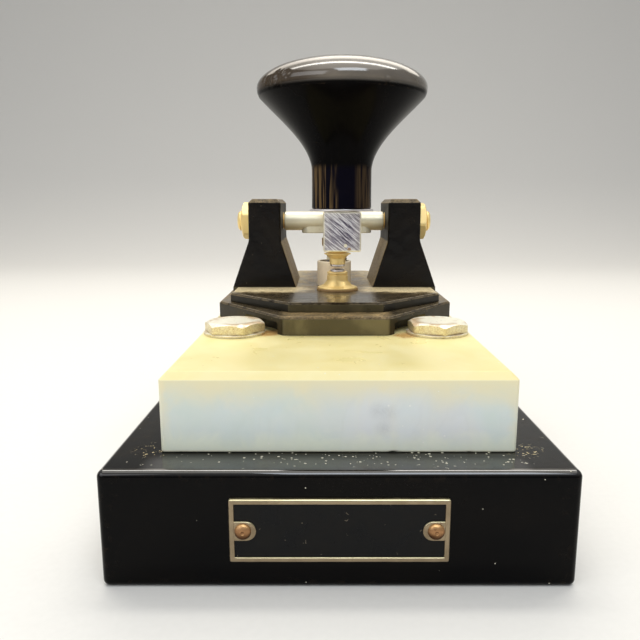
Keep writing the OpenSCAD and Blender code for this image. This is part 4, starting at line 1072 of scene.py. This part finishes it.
def make_base():
    """The moulding: cavity wall, cover's pocket, rim, outer face and top in one profile, and four pillars."""
    low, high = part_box("base")
    middle_y, half_x, half_y, top = (low.y + high.y) / 2, (high.x - low.x) / 2, (high.y - low.y) / 2, high.z
    roof = top - BASE_TOP_T
    line = rounded(
        [(BASE_WALL, roof), (BASE_WALL, COVER_T), (COVER_RIM, COVER_T), (COVER_RIM, 0), (0, 0), (0, top),
         (UNDER_SLAB, top)],
        [0, 0, 0, 0.3 * MM, BASE_EDGE_R, BASE_EDGE_R, 0], 8)
    shell = carried(rectangle(half_x, half_y, BASE_EDGE_R), BASE_EDGE_R, line, 8, 24)
    shell[..., 1] += middle_y
    pillar = turned([(PILLAR_R, COVER_T), (PILLAR_R, roof)], 24)
    pillars = [(placed(pillar, (x, middle_y + y, 0)), "capped")
               for x in (-PILLAR_X, PILLAR_X) for y in (-PILLAR_Y, PILLAR_Y)]
    piece("base", [(shell, "capped")] + pillars, base_black)


def make_nameplate():
    """The plate in its own frame, x right, y up, z outwards: border ring, sunk field, lands and rivets."""
    low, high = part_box("nameplate")
    half_x, half_y = (high.x - low.x) / 2, (high.z - low.z) / 2
    face = high.y - low.y
    middle = ((low.x + high.x) / 2, high.y, (low.z + high.z) / 2)
    stand = dict(node="nameplate", at=middle, along=(0, -1, 0), turn=-90)
    ring = looped([(0, 0), (0, face), (PLATE_BORDER, face), (PLATE_BORDER, 0)], mm(0, 0.36, 0.18, 0), 5)
    border = carried(rectangle(half_x, half_y, PLATE_CORNER_R), PLATE_CORNER_R, ring, 4, 40)
    border[..., 2] += 0.02 * MM * waves(border, 6 * MM, 3) * (border[..., 2] > face * 0.8)
    piece("nameplate_border", [(border, "looped")], plate_nickel, **stand)
    line = [(0, 0.1 * MM), (0, PLATE_FIELD_T), (2 * MM, PLATE_FIELD_T)]
    corners = rectangle(half_x - PLATE_BORDER + 0.05 * MM, half_y - PLATE_BORDER + 0.05 * MM)
    piece("nameplate_field", [(carried(corners, 0, line, 1, 30), "capped")], plate_paint, **stand)
    rise = rounded([(0, PLATE_FIELD_T - 0.1 * MM), (0, face), (1.2 * MM, face)], mm(0, 0.15, 0), 4)
    bow = np.radians(np.linspace(-90, 90, 15))
    round_end = np.column_stack([-LAND_H / 2 * np.cos(bow), -LAND_H / 2 * np.sin(bow)])
    root = LAND_LENGTH - LAND_H / 2 + 0.1 * MM
    land = np.concatenate([[(root, -LAND_H / 2), (root, LAND_H / 2)], round_end])
    land_x = half_x - PLATE_BORDER - LAND_LENGTH + LAND_H / 2
    rivet_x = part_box("nameplate_rivets")[1].x - RIVET_D / 2
    swell = np.radians(np.linspace(76, 0, 16))
    swelling = np.column_stack([RIVET_D / 2 * np.cos(swell), RIVET_DOME * np.sin(swell)])
    dome = np.concatenate([RIVET_DIMPLE, swelling, [(RIVET_D / 2, RIVET_SEAT), (0, RIVET_SEAT)]])
    for side, label in SIDES:
        corners = land * side + (side * land_x, 0)
        rings = carried(moved_in(corners, LAND_BEVEL), LAND_BEVEL, rise, 2)
        piece("nameplate_land_" + label, [(rings, "capped")], plate_nickel, **stand)
        rivet = turned(dome, 64)
        rivet = rivet * (1 + 0.02 * waves(rivet, 1.6 * MM, 11 + side)[..., None] * (1, 1, 0))
        piece("nameplate_rivet_" + label, [(rivet, "open")], copper, "nameplate_rivets",
              at=(middle[0] + side * rivet_x, low.y, middle[2]), along=(0, -1, 0))


def make_slab():
    """The slab: a chamfered profile round a rectangle, its edges nibbled where a noise runs high."""
    low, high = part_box("marble_slab")
    half_x, half_y, middle_y = (high.x - low.x) / 2, (high.y - low.y) / 2, (low.y + high.y) / 2
    line = rounded(
        [(UNDER_SLAB, low.z), (0, low.z), (0, high.z - SLAB_CHAMFER), (SLAB_CHAMFER, high.z),
         (UNDER_SLAB, high.z)],
        mm(0, 0.35, 0.3, 0.3, 0), 5)
    rings = carried(rectangle(half_x, half_y, SLAB_CORNER_R), SLAB_CORNER_R, line, 5, 150)
    rings[..., 1] += middle_y
    bite = np.clip(waves(rings, 2.4 * MM, 21) + 0.5 * waves(rings, 7 * MM, 22) - 0.75, 0, 1)
    near_top = np.exp(-np.abs(rings[..., 2] - high.z) / (0.9 * MM))
    near_foot = np.exp(-np.abs(rings[..., 2] - low.z) / (0.5 * MM))
    inward = np.array([0, middle_y, (low.z + high.z) / 2]) - rings
    inward /= np.linalg.norm(inward, axis=-1, keepdims=True)
    rim = 2 * SLAB_CHAMFER
    at_rim = (np.abs(rings[..., 0]) > half_x - rim) | (np.abs(rings[..., 1]) > half_y - rim)
    rings = rings + inward * (0.35 * MM * bite * (near_top + near_foot) * at_rim)[..., None]
    piece("marble_slab", [(rings, "capped")], marble, sharp=30)


def make_slab_bolts():
    """Two low hexagonal heads with a soft crown, on turned washers."""
    low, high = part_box("slab_washers")
    inner, outer = BOLT_SHANK_R, BOLT_WASHER_R
    line = looped([(inner, low.z), (outer, low.z), (outer, high.z), (inner, high.z)], 0.12 * MM, 3)
    head_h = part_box("slab_bolts")[1].z - high.z
    rings = hexagon(BOLT_AF, head_h, 0)
    crown = np.linspace(0.9, 0, 7)[:, None, None]
    top = rings[-1:] * (1, 1, 0) * crown + (0, 0, 1) * (head_h - 0.06 * MM + 0.06 * MM * crown ** 2)
    head = np.concatenate([rings[:1] * (0, 0, 1), rings, top])
    for side, label in SIDES:
        x, y = side * CORNER_X, low.y + BOLT_WASHER_R
        washer = turned(line, 96)
        washer[..., 2] -= low.z
        piece("slab_washer_" + label, [(washer, "looped")], bolt_nickel, "slab_washers", at=(x, y, low.z))
        piece("slab_bolt_" + label, [(head, "open")], bolt_nickel, "slab_bolts", at=(x, y, high.z),
              turn=BOLT_TURN[side] - 90)


# Cast frame

def tier_corners(half_len, half_w, flat_w, side_half, corner_r):
    """Centres of the rounded corners of an eight-sided tier, anticlockwise."""
    end_x, end_y = flat_w / 2 - 0.4 * corner_r, half_len - corner_r
    side_x, side_y = half_w - corner_r, side_half - 0.4 * corner_r
    return np.array([(side_x, -side_y), (side_x, side_y), (end_x, end_y), (-end_x, end_y),
                     (-side_x, side_y), (-side_x, -side_y), (-end_x, -end_y), (end_x, -end_y)])


def make_tier(sizes, corner_r, low_z, height, middle_y):
    """Rings of one tier: an upright face, a rounded bevel and a flat top, with the casting's slight waves."""
    edge = [(UNDER_SLAB, 0), (0, 0), (0, height - TIER_BEVEL), (TIER_BEVEL, height), (UNDER_SLAB, height)]
    line = rounded(edge, mm(0, 0.2, 0.25, 0.25, 0), 4)
    rise = np.linspace(0.3 * MM, height - 1.3 * TIER_BEVEL, 9)[1:-1]
    cut = int(np.argmax(line[:, 1] > height / 2))
    line = np.concatenate([line[:cut], np.column_stack([np.zeros(len(rise)), rise]), line[cut:]])
    rings = carried(tier_corners(**sizes, corner_r=corner_r), corner_r, line, 8, 28)
    lumps = CAST_WAVE * waves(rings, 9 * MM, 31) * (line[:, 0] < 3 * MM)[:, None]
    reach = np.maximum(np.linalg.norm(rings[..., :2], axis=-1, keepdims=True), MM)
    rings = rings - rings * (1, 1, 0) / reach * np.abs(lumps)[..., None]
    return rings + (0, middle_y, low_z)


def make_post(side, pivot, foot_z, top_z):
    """Rings of a post: rounded rectangles whose inner and outer sides follow lines that flare at the foot."""
    rise = foot_z + FLARE_H
    low_z = foot_z - UPPER_TIER_H - 0.2 * MM
    corners = [(low_z, FOOT_INNER_X, FOOT_OUTER_X), (foot_z, FOOT_INNER_X, FOOT_OUTER_X),
               (rise, POST_INNER_X, POST_OUTER_X), (top_z, POST_INNER_X, POST_OUTER_X)]
    line = rounded(corners, mm(0, 1.0, 3, 0), 8)
    z = np.unique(np.concatenate([line[:, 0], np.arange(low_z, top_z, 0.8 * MM)]))
    bevel = rounded([(0, top_z - 2 * POST_BEVEL), (0, top_z - POST_BEVEL), (POST_BEVEL, top_z),
                     (3 * POST_BEVEL, top_z)], mm(0, 0.4, 0.4, 0), 5)
    z = z[z < top_z - 2 * POST_BEVEL - 0.05 * MM]
    inset = np.concatenate([np.zeros(len(z)), bevel[:, 0]])
    z = np.concatenate([z, bevel[:, 1]])
    inner, outer = np.interp(z, line[:, 0], line[:, 1]), np.interp(z, line[:, 0], line[:, 2])
    rows = []
    for height, near, far, back in zip(z, inner, outer, inset):
        radius = max(POST_CORNER_R - back, 0.02 * MM)
        row = outline(rectangle((far - near) / 2 - back, POST_DEPTH / 2 - back, radius), radius, 5, 14)
        middle_x = (near + far) / 2
        rows.append(np.column_stack([row[:, 0] + middle_x, row[:, 1] + pivot.y, np.full(len(row), height)]))
    rings = np.array(rows)
    out = (rings - rings.mean(1, keepdims=True)) * (1, 1, 0)
    out /= np.maximum(np.linalg.norm(out, axis=-1, keepdims=True), 1e-9)
    rings = rings - out * (CAST_WAVE * np.abs(waves(rings, 7 * MM, 41)))[..., None]
    return rings * (side, 1, 1)


def make_frame():
    """The casting: two tiers with pockets under the lower one, and two flared posts with spot faces."""
    low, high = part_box("key_frame")
    middle_y = (low.y + high.y) / 2
    pivot = pivot_point()
    lower_top = low.z + LOWER_TIER_H
    upper_top = lower_top + UPPER_TIER_H
    line = rounded([(0, -MM), (RELIEF_R, -MM), (RELIEF_R, RELIEF_H), (0, RELIEF_H)], mm(0, 0, 0.5, 0), 4)
    bolt_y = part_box("slab_washers")[0].y + BOLT_WASHER_R
    pockets = [(placed(turned(line, 64), (x, y, low.z)), "open")
               for x in (-CORNER_X, CORNER_X) for y in (bolt_y, 2 * middle_y - bolt_y)]
    lower = make_tier(LOWER_TIER, LOWER_CORNER_R, low.z, LOWER_TIER_H, middle_y)
    upper = make_tier(UPPER_TIER, UPPER_CORNER_R, lower_top - 0.05 * MM, UPPER_TIER_H + 0.05 * MM, middle_y)
    lower = cut_away("frame_lower_tier", [(lower, "capped")], pockets)
    piece("frame_lower_tier", lower, enamel, "key_frame")
    piece("frame_upper_tier", [(upper, "capped")], enamel, "key_frame")
    line = rounded([(0, 0), (SPOT_R, 0), (SPOT_R, 8 * MM), (0, 8 * MM)], mm(0, 0.2, 0, 0))
    for side, label in SIDES:
        spot = placed(turned(line, 64), (side * POST_OUTER_X, pivot.y, pivot.z), (side, 0, 0))
        post = make_post(side, pivot, upper_top, high.z)
        post = cut_away("frame_post_" + label, [(post, "capped")], [(spot, "open")])
        piece("frame_post_" + label, post, enamel, "key_frame", sharp=45)


# Pivot

def pivot_point():
    """The point on the pivot axis in the middle plane, from the trunnions' box."""
    low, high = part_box("trunnion_left")
    return Vector((0, (low.y + high.y) / 2, high.z - (high.y - low.y) / 2))


def make_pivot():
    """Pivot screws with threads and slotted domes, their lock nuts, and the two halves of the axle."""
    pivot = pivot_point()
    post_t = POST_OUTER_X - POST_INNER_X
    r = PIVOT_SCREW_D / 2
    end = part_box("pivot_screws")[1].x - POST_INNER_X
    cone = [(0, -PIVOT_CONE_LEN), (0.1 * r, -PIVOT_CONE_LEN), (0.7 * r, -0.35 * MM), (0.7 * r, -0.1 * MM)]
    line = np.concatenate([
        cone, [(r, 0.1 * MM), (r, post_t)],
        straight(r, post_t + 0.05 * MM, end - 1.0 * MM, SCREW_PITCH / 12),
        rounded([(r, end - 0.95 * MM), (r * 0.8, end - 0.3 * MM), (0, end)], mm(0, 1.2, 0), 8),
    ])
    slot = carried(rectangle(r + 1 * MM, 0.4 * MM), 0, [(0, end - 0.9 * MM), (0, end + MM)], 1)
    nut = hexagon(PIVOT_NUT_AF, PIVOT_NUT_T, r + NUT_PLAY, True)
    tail = TRUNNION_TAIL
    for side, label in SIDES:
        along = (side, 0, 0)
        screw = turned(line, 72, thread_ripple(SCREW_PITCH, THREAD_DEPTH, post_t, end - 0.8 * MM))
        cut = cut_away("pivot_screw_" + label, [(screw, "open")], [(slot, "capped")])
        piece("pivot_screw_" + label, cut, bright_brass, "pivot_screws",
              at=(side * POST_INNER_X, pivot.y, pivot.z), along=along, turn=PIVOT_SLOT_TURN * side)
        piece("pivot_lock_nut_" + label, [(nut, "looped")], bright_brass, "pivot_lock_nuts",
              at=(side * POST_OUTER_X, pivot.y, pivot.z), along=along, turn=PIVOT_NUT_TURN[side])
        low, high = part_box("trunnion_" + label)
        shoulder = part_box("lever_bar")[0 if side < 0 else 1].x
        reach = abs((low.x if side < 0 else high.x) - shoulder)
        drum = (high.y - low.y) / 2
        socket = reach - SOCKET_DEPTH
        axle = rounded([(0, -tail), (2 * MM, -tail), (2 * MM, 0), (drum, 0), (drum, reach),
                        (SOCKET_MOUTH_R, reach), (0.35 * MM, socket), (0, socket)],
                       mm(0, 0, 0, 0.25, 0.45, 0.1, 0, 0), 5)
        foot = trunnion_foot(pivot.z - low.z, tail)
        piece("trunnion_" + label, [(turned(axle, 96), "open"), (foot, "capped")], trunnion_nickel,
              body="lever", at=(shoulder, pivot.y, pivot.z), along=along)


def trunnion_foot(drop, tail):
    """Rings of the flat foot under a trunnion, in its frame: x up, z along the axle, a round outer end."""
    half = TRUNNION_FOOT_W / 2
    bow = np.radians(np.linspace(-90, 90, 13))
    round_end = np.column_stack([TRUNNION_FOOT_LEN - half + half * np.cos(bow), half * np.sin(bow)])
    corners = np.concatenate([[(-tail, half), (-tail, -half)], round_end])
    deep = half - TRUNNION_FOOT_R
    line = rounded([(deep, 0), (0, 0), (0, TRUNNION_FOOT_H), (deep, TRUNNION_FOOT_H)], mm(0, 0.3, 0.1, 0), 4)
    rings = carried(moved_in(corners, TRUNNION_FOOT_R), TRUNNION_FOOT_R, line, 2)
    return rings[..., ::-1] - (drop, 0, 0)


def straight(radius, low, high, step):
    """Rows of one radius between two heights, close enough together for a thread."""
    height = np.arange(low, high, step)
    return np.column_stack([np.full(len(height), radius), height])


# Lever and knob

def make_lever():
    """The bar: a square with rounded corners carried along Y, with eased ends, and its front sawn flat."""
    low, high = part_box("lever_bar")
    half_x, half_z, length = (high.x - low.x) / 2, (high.z - low.z) / 2, high.y - low.y
    line = rounded([(2 * MM, 0), (0, 0), (0, length), (2 * MM, length)], mm(0, 0.22, 0.3, 0), 4)
    rise = np.column_stack([np.zeros(LEVER_RINGS), np.linspace(MM, length - MM, LEVER_RINGS)])
    line = np.concatenate([line[:len(line) // 2], rise, line[len(line) // 2:]])
    bar = carried(rectangle(half_x, half_z, LEVER_EDGE_R), LEVER_EDGE_R, line, 5, 6)
    out = bar[..., :2] / np.linalg.norm(bar[..., :2], axis=-1, keepdims=True)
    bar[..., :2] -= out * (0.025 * MM * np.abs(waves(bar, 8 * MM, 51)))[..., None]
    piece("lever_bar", [(bar, "capped")], lever_nickel, body="lever",
          at=((low.x + high.x) / 2, low.y, (low.z + high.z) / 2), along=(0, 1, 0), turn=90)


def make_knob():
    """The knob turned about Z: stem, cubic flare, rim and elliptic dome, with chips along its rim."""
    x, y, low, high, r = round_place("knob")
    height = high - low
    widest, rim = height - KNOB_DOME_H, height - KNOB_DOME_H - KNOB_RIM_H
    rise, rim_r = rim - KNOB_STEM_H, r - KNOB_RIM_STEP
    t = np.linspace(0, 1, 60)[:, None]
    ends = np.array([(KNOB_STEM_R, KNOB_STEM_H), (KNOB_STEM_R, KNOB_STEM_H + FLARE_UP * rise),
                     (KNOB_STEM_R + FLARE_OUT * (rim_r - KNOB_STEM_R), rim - FLARE_DOWN * rise),
                     (rim_r, rim)])
    flare = ((1 - t) ** 3 * ends[0] + 3 * (1 - t) ** 2 * t * ends[1]
             + 3 * (1 - t) * t ** 2 * ends[2] + t ** 3 * ends[3])
    bore, deep = KNOB_BORE_R, KNOB_BORE_DEPTH
    foot = rounded([(0, deep), (bore, deep), (bore, 0), (KNOB_STEM_R, 0), (KNOB_STEM_R, KNOB_STEM_H)],
                   mm(0, 0, 0.2, 0.35, 0), 5)
    swing = np.radians(np.linspace(4, 90, 70))
    dome = np.column_stack([r * np.cos(swing), widest + KNOB_DOME_H * np.sin(swing)])
    bulge = (rim_r + 0.3 * MM, rim + KNOB_RIM_H / 2)
    lip = rounded([flare[-2], (rim_r, rim), bulge, (r, widest), dome[0]], mm(0, 0.3, 0.8, 0.8, 0), 6)[1:-1]
    rings = turned(np.concatenate([foot[:-1], flare[:-1], lip, dome]), 360)
    for angle, chip_z, size, depth in KNOB_CHIPS:
        a = math.radians(angle)
        place = np.array([r * math.sin(a), -r * math.cos(a), widest + chip_z])
        away = np.linalg.norm(rings - place, axis=-1) / size + 0.25 * waves(rings, 1.1 * MM, int(angle) % 97)
        inward = (np.array([0, 0, widest]) - rings) / r
        rings = rings + inward * (depth * np.clip(1 - away, 0, 1) ** 0.6)[..., None]
    piece("knob", [(rings, "open")], knob_black, body="lever", at=(x, y, low), sharp=50)
    x, y, low, high, r = round_place("knob_washer")
    line = looped([(bore, 0), (r, 0), (r, high - low), (bore, high - low)], 0.14 * MM, 4)
    lathe("knob_washer", line, 96, silver, "looped", body="lever", at=(x, y, low))


# Contacts

def make_contacts():
    """Hammer and anvil, each turned in brass with a silver tip, the bush under the anvil and two nuts."""
    x, y, low, high, flange = round_place("hammer_contact")
    tip_x, tip_y, tip_low, tip_high, tip_r = round_place("hammer_tip")
    shank, neck, end = HAMMER_SHANK_R, tip_r + 0.2 * MM, high - low
    z = HAMMER_FLANGE_Z - TIP_T
    line = np.concatenate([
        rounded([(0, 0), (neck, 0), (neck, z - 0.7 * MM), (flange - 0.5 * MM, z + 0.3 * MM),
                 (flange, z + 0.45 * MM), (flange, z + 0.7 * MM), (shank + 0.4 * MM, z + MM),
                 (shank, z + 1.4 * MM), (shank, z + 1.6 * MM)],
                mm(0, 0.25, 0.6, 0.4, 0.06, 0.08, 0.2, 0.2, 0), 4),
        straight(shank, z + 1.7 * MM, end - 0.6 * MM, FINE_PITCH / 12),
        rounded([(shank, end - 0.5 * MM), (shank - 0.4 * MM, end), (0, end)], mm(0, 0.2, 0)),
    ])
    ripple = thread_ripple(FINE_PITCH, THREAD_DEPTH, z + 2.0 * MM, end - 0.3 * MM)
    slot = carried(rectangle(shank + MM, 0.35 * MM), 0, [(0, end - MM), (0, end + MM)], 1)
    slot = placed(slot, (0, 0, 0), turn=HAMMER_SLOT_TURN)
    body = cut_away("hammer_contact", [(turned(line, 64, ripple), "open")], [(slot, "capped")])
    piece("hammer_contact", body, bright_brass, body="lever", at=(x, y, low))
    tip_h = tip_high - tip_low
    line = rounded([(0, 0), (tip_r - 0.5 * MM, 0.03 * MM), (tip_r, 0.2 * MM), (tip_r, tip_h), (0, tip_h)],
                   mm(0, 1, 0.25, 0, 0), 5)
    lathe("hammer_tip", line, 64, silver, body="lever", at=(tip_x, tip_y, tip_low))
    anvil_low, anvil_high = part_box("anvil_tip")
    lathe("anvil_tip", line * (1, -1), 64, silver, at=(x, y, anvil_high.z))
    _, _, tail, _, flange = round_place("anvil_contact")
    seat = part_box("anvil_bush")[1].z
    up, neck = anvil_low.z - seat, ANVIL_NECK_R
    groove = neck - 0.25 * MM
    line = rounded(
        [(0, tail - seat), (2.5 * MM, tail - seat), (2.5 * MM, 0), (flange, 0), (flange, 0.4 * MM),
         (neck + 1.2 * MM, 0.9 * MM), (neck, 2.2 * MM), (neck, up - 1.1 * MM), (groove, up - MM),
         (groove, up - 0.7 * MM), (neck, up - 0.6 * MM), (neck, up - 0.2 * MM), (neck - 0.4 * MM, up),
         (0, up)],
        mm(0, 0, 0, 0.15, 0.2, 0.4, 0.6, 0.08, 0.06, 0.06, 0.08, 0.1, 0.15, 0), 4)
    lathe("anvil_contact", line, 96, bright_brass, at=(x, y, seat))
    bush_x, bush_y, bush_low, bush_high, bush_r = round_place("anvil_bush")
    bore, step = BUSH_BORE_R, bush_high - FRAME_TOP_DROP
    line = looped([(bore, bush_low), (4 * MM, bush_low), (4 * MM, step), (bush_r, step),
                   (bush_r, bush_high), (bore, bush_high)], mm(0, 0, 0, 0.1, 0.12, 0), 3)
    lathe("anvil_bush", line - (0, bush_low), 72, fibre, "looped", at=(bush_x, bush_y, bush_low))
    nut = hexagon(LEVER_NUT_AF, LEVER_NUT_T, shank + NUT_PLAY)
    for label, edge, up in (("upper", 1, 1), ("lower", 0, -1)):
        piece("hammer_lock_nut_" + label, [(nut, "looped")], brass, "hammer_lock_nuts", body="lever",
              at=(x, y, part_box("lever_bar")[edge].z), along=(0, 0, up), turn=HAMMER_NUT_TURN)


# Spring, adjusting screws and their nuts

def make_spring():
    """The cup, and in it a coil: a helix of steady rise whose first and last turns lie closed."""
    x, y, low, high, r = round_place("spring_cup")
    upper_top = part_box("anvil_bush")[1].z - FRAME_TOP_DROP
    inner, floor = r - CUP_WALL, upper_top + CUP_FLOOR_T
    line = rounded([(0, low), (2 * MM, low), (2 * MM, upper_top), (r, upper_top), (r, high), (inner, high),
                    (inner, floor), (0, floor)],
                   mm(0, 0.3, 0, 0.2, 0.5, 0.12, 0.6, 0), 6)
    lathe("spring_cup", line - (0, low), 96, satin_nickel, at=(x, y, low))
    spring_low, spring_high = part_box("return_spring")
    screw_x, screw_y = round_place("spring_screw")[:2]
    at = (screw_x, screw_y, spring_low.z)
    turn = np.linspace(0, 1, SPRING_TURNS * 48)
    climb = np.interp(turn, [0, 0.12, 0.88, 1], [0, 0.03, 0.97, 1])
    height = spring_high.z - spring_low.z - WIRE_D
    angle = turn * (SPRING_TURNS + SPRING_END_TURNS) * 2 * math.pi
    path = np.column_stack([COIL_R * np.cos(angle), COIL_R * np.sin(angle), WIRE_D / 2 + height * climb])
    coil = piece("return_spring", [(tube(path, WIRE_D / 2, 14), "capped")], steel, at=at)
    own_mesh(coil)


def knurled_head(node, bore):
    """Rings of a knurled drum with plain collars: a looped profile, its band cut by a sawtooth round it."""
    low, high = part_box(node)
    r, height = (high.x - low.x) / 2, high.z - low.z
    collar, band = r - 0.45 * MM, height * 0.2
    line = looped(
        [(bore, 0), (collar, 0), (collar, band), (r, band + 0.3 * MM), (r, height - band - 0.3 * MM),
         (collar, height - band), (collar, height), (bore, height)],
        mm(0.2, 0.3, 0.1, 0.15, 0.15, 0.1, 0.3, 0.2), 3)
    rings = turned(line, KNURLS * 8)
    tooth = knurl_ripple(KNURLS, KNURL_DEPTH, band, height - band, 0.35 * MM)
    out = np.hypot(rings[..., 0], rings[..., 1])
    angle = np.arctan2(rings[..., 1], rings[..., 0])
    deeper = tooth(angle, rings[..., 2]) * (out > collar)
    return rings * (1 + deeper / out)[..., None] ** np.array([1, 1, 0])


def screw_tail(name, r, low):
    """Profile of an adjusting screw's lower end: pin and foot for the spring, a plain point for the gap."""
    if name == "gap":
        point = r - 0.6 * MM
        return rounded([(0, 0), (point, 0), (point, 1.2 * MM), (r, 1.8 * MM), (r, 1.9 * MM)],
                       mm(0, 0.3, 0.2, 0.1, 0), 4)
    foot_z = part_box("return_spring")[1].z + 0.2 * MM - low
    pin = COIL_R - WIRE_D / 2 - 0.6 * MM
    foot_top = foot_z + FOOT_T
    return rounded([(0, 0), (pin, 0), (pin, foot_z), (FOOT_R, foot_z), (FOOT_R, foot_top), (r, foot_top),
                    (r, foot_top + 0.2 * MM)],
                   mm(0, 0.5, 0.1, 0.2, 0.3, 0.1, 0), 4)


def make_adjusting_screws():
    """Each screw with its thread, its knurled head and its lock nut, and the stop under the gap screw."""
    for name, r, nut_turn in ADJUSTING_SCREWS:
        x, y, low, high, _ = round_place(name + "_screw")
        length = high - low
        tail = screw_tail(name, r, low)
        start = tail[-1, 1] + 0.1 * MM
        line = np.concatenate([
            tail, straight(r, start, length - 0.5 * MM, SCREW_PITCH / 12),
            rounded([(r, length - 0.45 * MM), (r - 0.4 * MM, length), (0, length)], mm(0, 0.2, 0)),
        ])
        screw = turned(line, 60, thread_ripple(SCREW_PITCH, THREAD_DEPTH, start, length - 0.2 * MM))
        piece(name + "_screw", [(screw, "open")], steel, body=name + "_screw_shank", at=(x, y, low))
        head, nut = name + "_screw_head", name + "_lock_nut"
        piece(head, [(knurled_head(head, r + NUT_PLAY), "looped")], brass, body=name + "_screw_knob",
              at=(x, y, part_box(head)[0].z), sharp=30)
        piece(nut, [(hexagon(LEVER_NUT_AF, LEVER_NUT_T, r + NUT_PLAY), "looped")], brass, body="lever",
              at=(x, y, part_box(nut)[0].z), turn=nut_turn)
    x, y, low, high, flange = round_place("back_stop")
    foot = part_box("anvil_bush")[1].z - FRAME_TOP_DROP - low
    neck, top = flange - 1.6 * MM, high - low
    line = rounded([(0, 0), (2 * MM, 0), (2 * MM, foot), (flange, foot), (flange, foot + 1.2 * MM),
                    (neck, foot + 2.4 * MM), (neck, top), (0, top)],
                   mm(0, 0.3, 0, 0.15, 0.3, 0.5, 0.45, 0), 5)
    lathe("back_stop", line, 80, nickel, at=(x, y, low))


# Terminals

def make_terminals():
    """Two wire terminals: a threaded stud with a collar, a loose washer and a knurled thumb nut."""
    low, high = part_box("terminal_studs")
    slab_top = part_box("marble_slab")[1].z
    y = (low.y + high.y) / 2
    up, down = high.z - slab_top, low.z - slab_top
    line = np.concatenate([
        rounded([(0, down), (STUD_R, down), (STUD_R, 0), (COLLAR_R, 0), (COLLAR_R, COLLAR_H),
                 (STUD_R, COLLAR_H), (STUD_R, COLLAR_H + 0.3 * MM)], mm(0, 0.3, 0, 0.2, 0.4, 0.1, 0), 4),
        straight(STUD_R, COLLAR_H + 0.4 * MM, up - 0.5 * MM, FINE_PITCH / 12),
        rounded([(STUD_R, up - 0.45 * MM), (STUD_R - 0.4 * MM, up), (0, up)], mm(0, 0.2, 0)),
    ])
    bore = STUD_R + NUT_PLAY
    for side, label in SIDES:
        stud = turned(line, 60, thread_ripple(FINE_PITCH, THREAD_DEPTH, COLLAR_H + 0.3 * MM, up - 0.2 * MM))
        piece("terminal_stud_" + label, [(stud, "open")], brass, "terminal_studs",
              at=(side * CORNER_X, y, slab_top))
        washer, nut = "terminal_washer_" + label, "thumb_nut_" + label
        x, _, washer_low, washer_high, r = round_place(washer)
        thick = washer_high - washer_low
        ring = looped([(bore, 0), (r, 0), (r, thick), (bore, thick)], 0.15 * MM, 3)
        lathe(washer, ring, 72, brass, "looped", body=label + "_wire_washer", at=(x, y, washer_low))
        piece(nut, [(knurled_head(nut, bore), "looped")], brass, body=label + "_thumb_nut",
              at=(x, y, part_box(nut)[0].z), sharp=30)


def finish_inner_parts():
    """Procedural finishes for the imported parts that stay: those inside the base and under the lever."""
    finishes = {"base_cover": fibre, "cover_screws": steel, "slab_nuts": nickel, "frame_bolts": steel,
                "frame_bolt_washer": steel, "anvil_nut": brass, "anvil_strap": brass, "frame_strap": brass,
                "terminal_lower_nuts": brass, "knob_screw": steel}
    for node, finish in finishes.items():
        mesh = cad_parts[node].data
        mesh.materials.clear()
        mesh.materials.append(finish)


make_base()
make_nameplate()
make_slab()
make_slab_bolts()
make_frame()
make_pivot()
make_lever()
make_knob()
make_contacts()
make_spring()
make_adjusting_screws()
make_terminals()
finish_inner_parts()
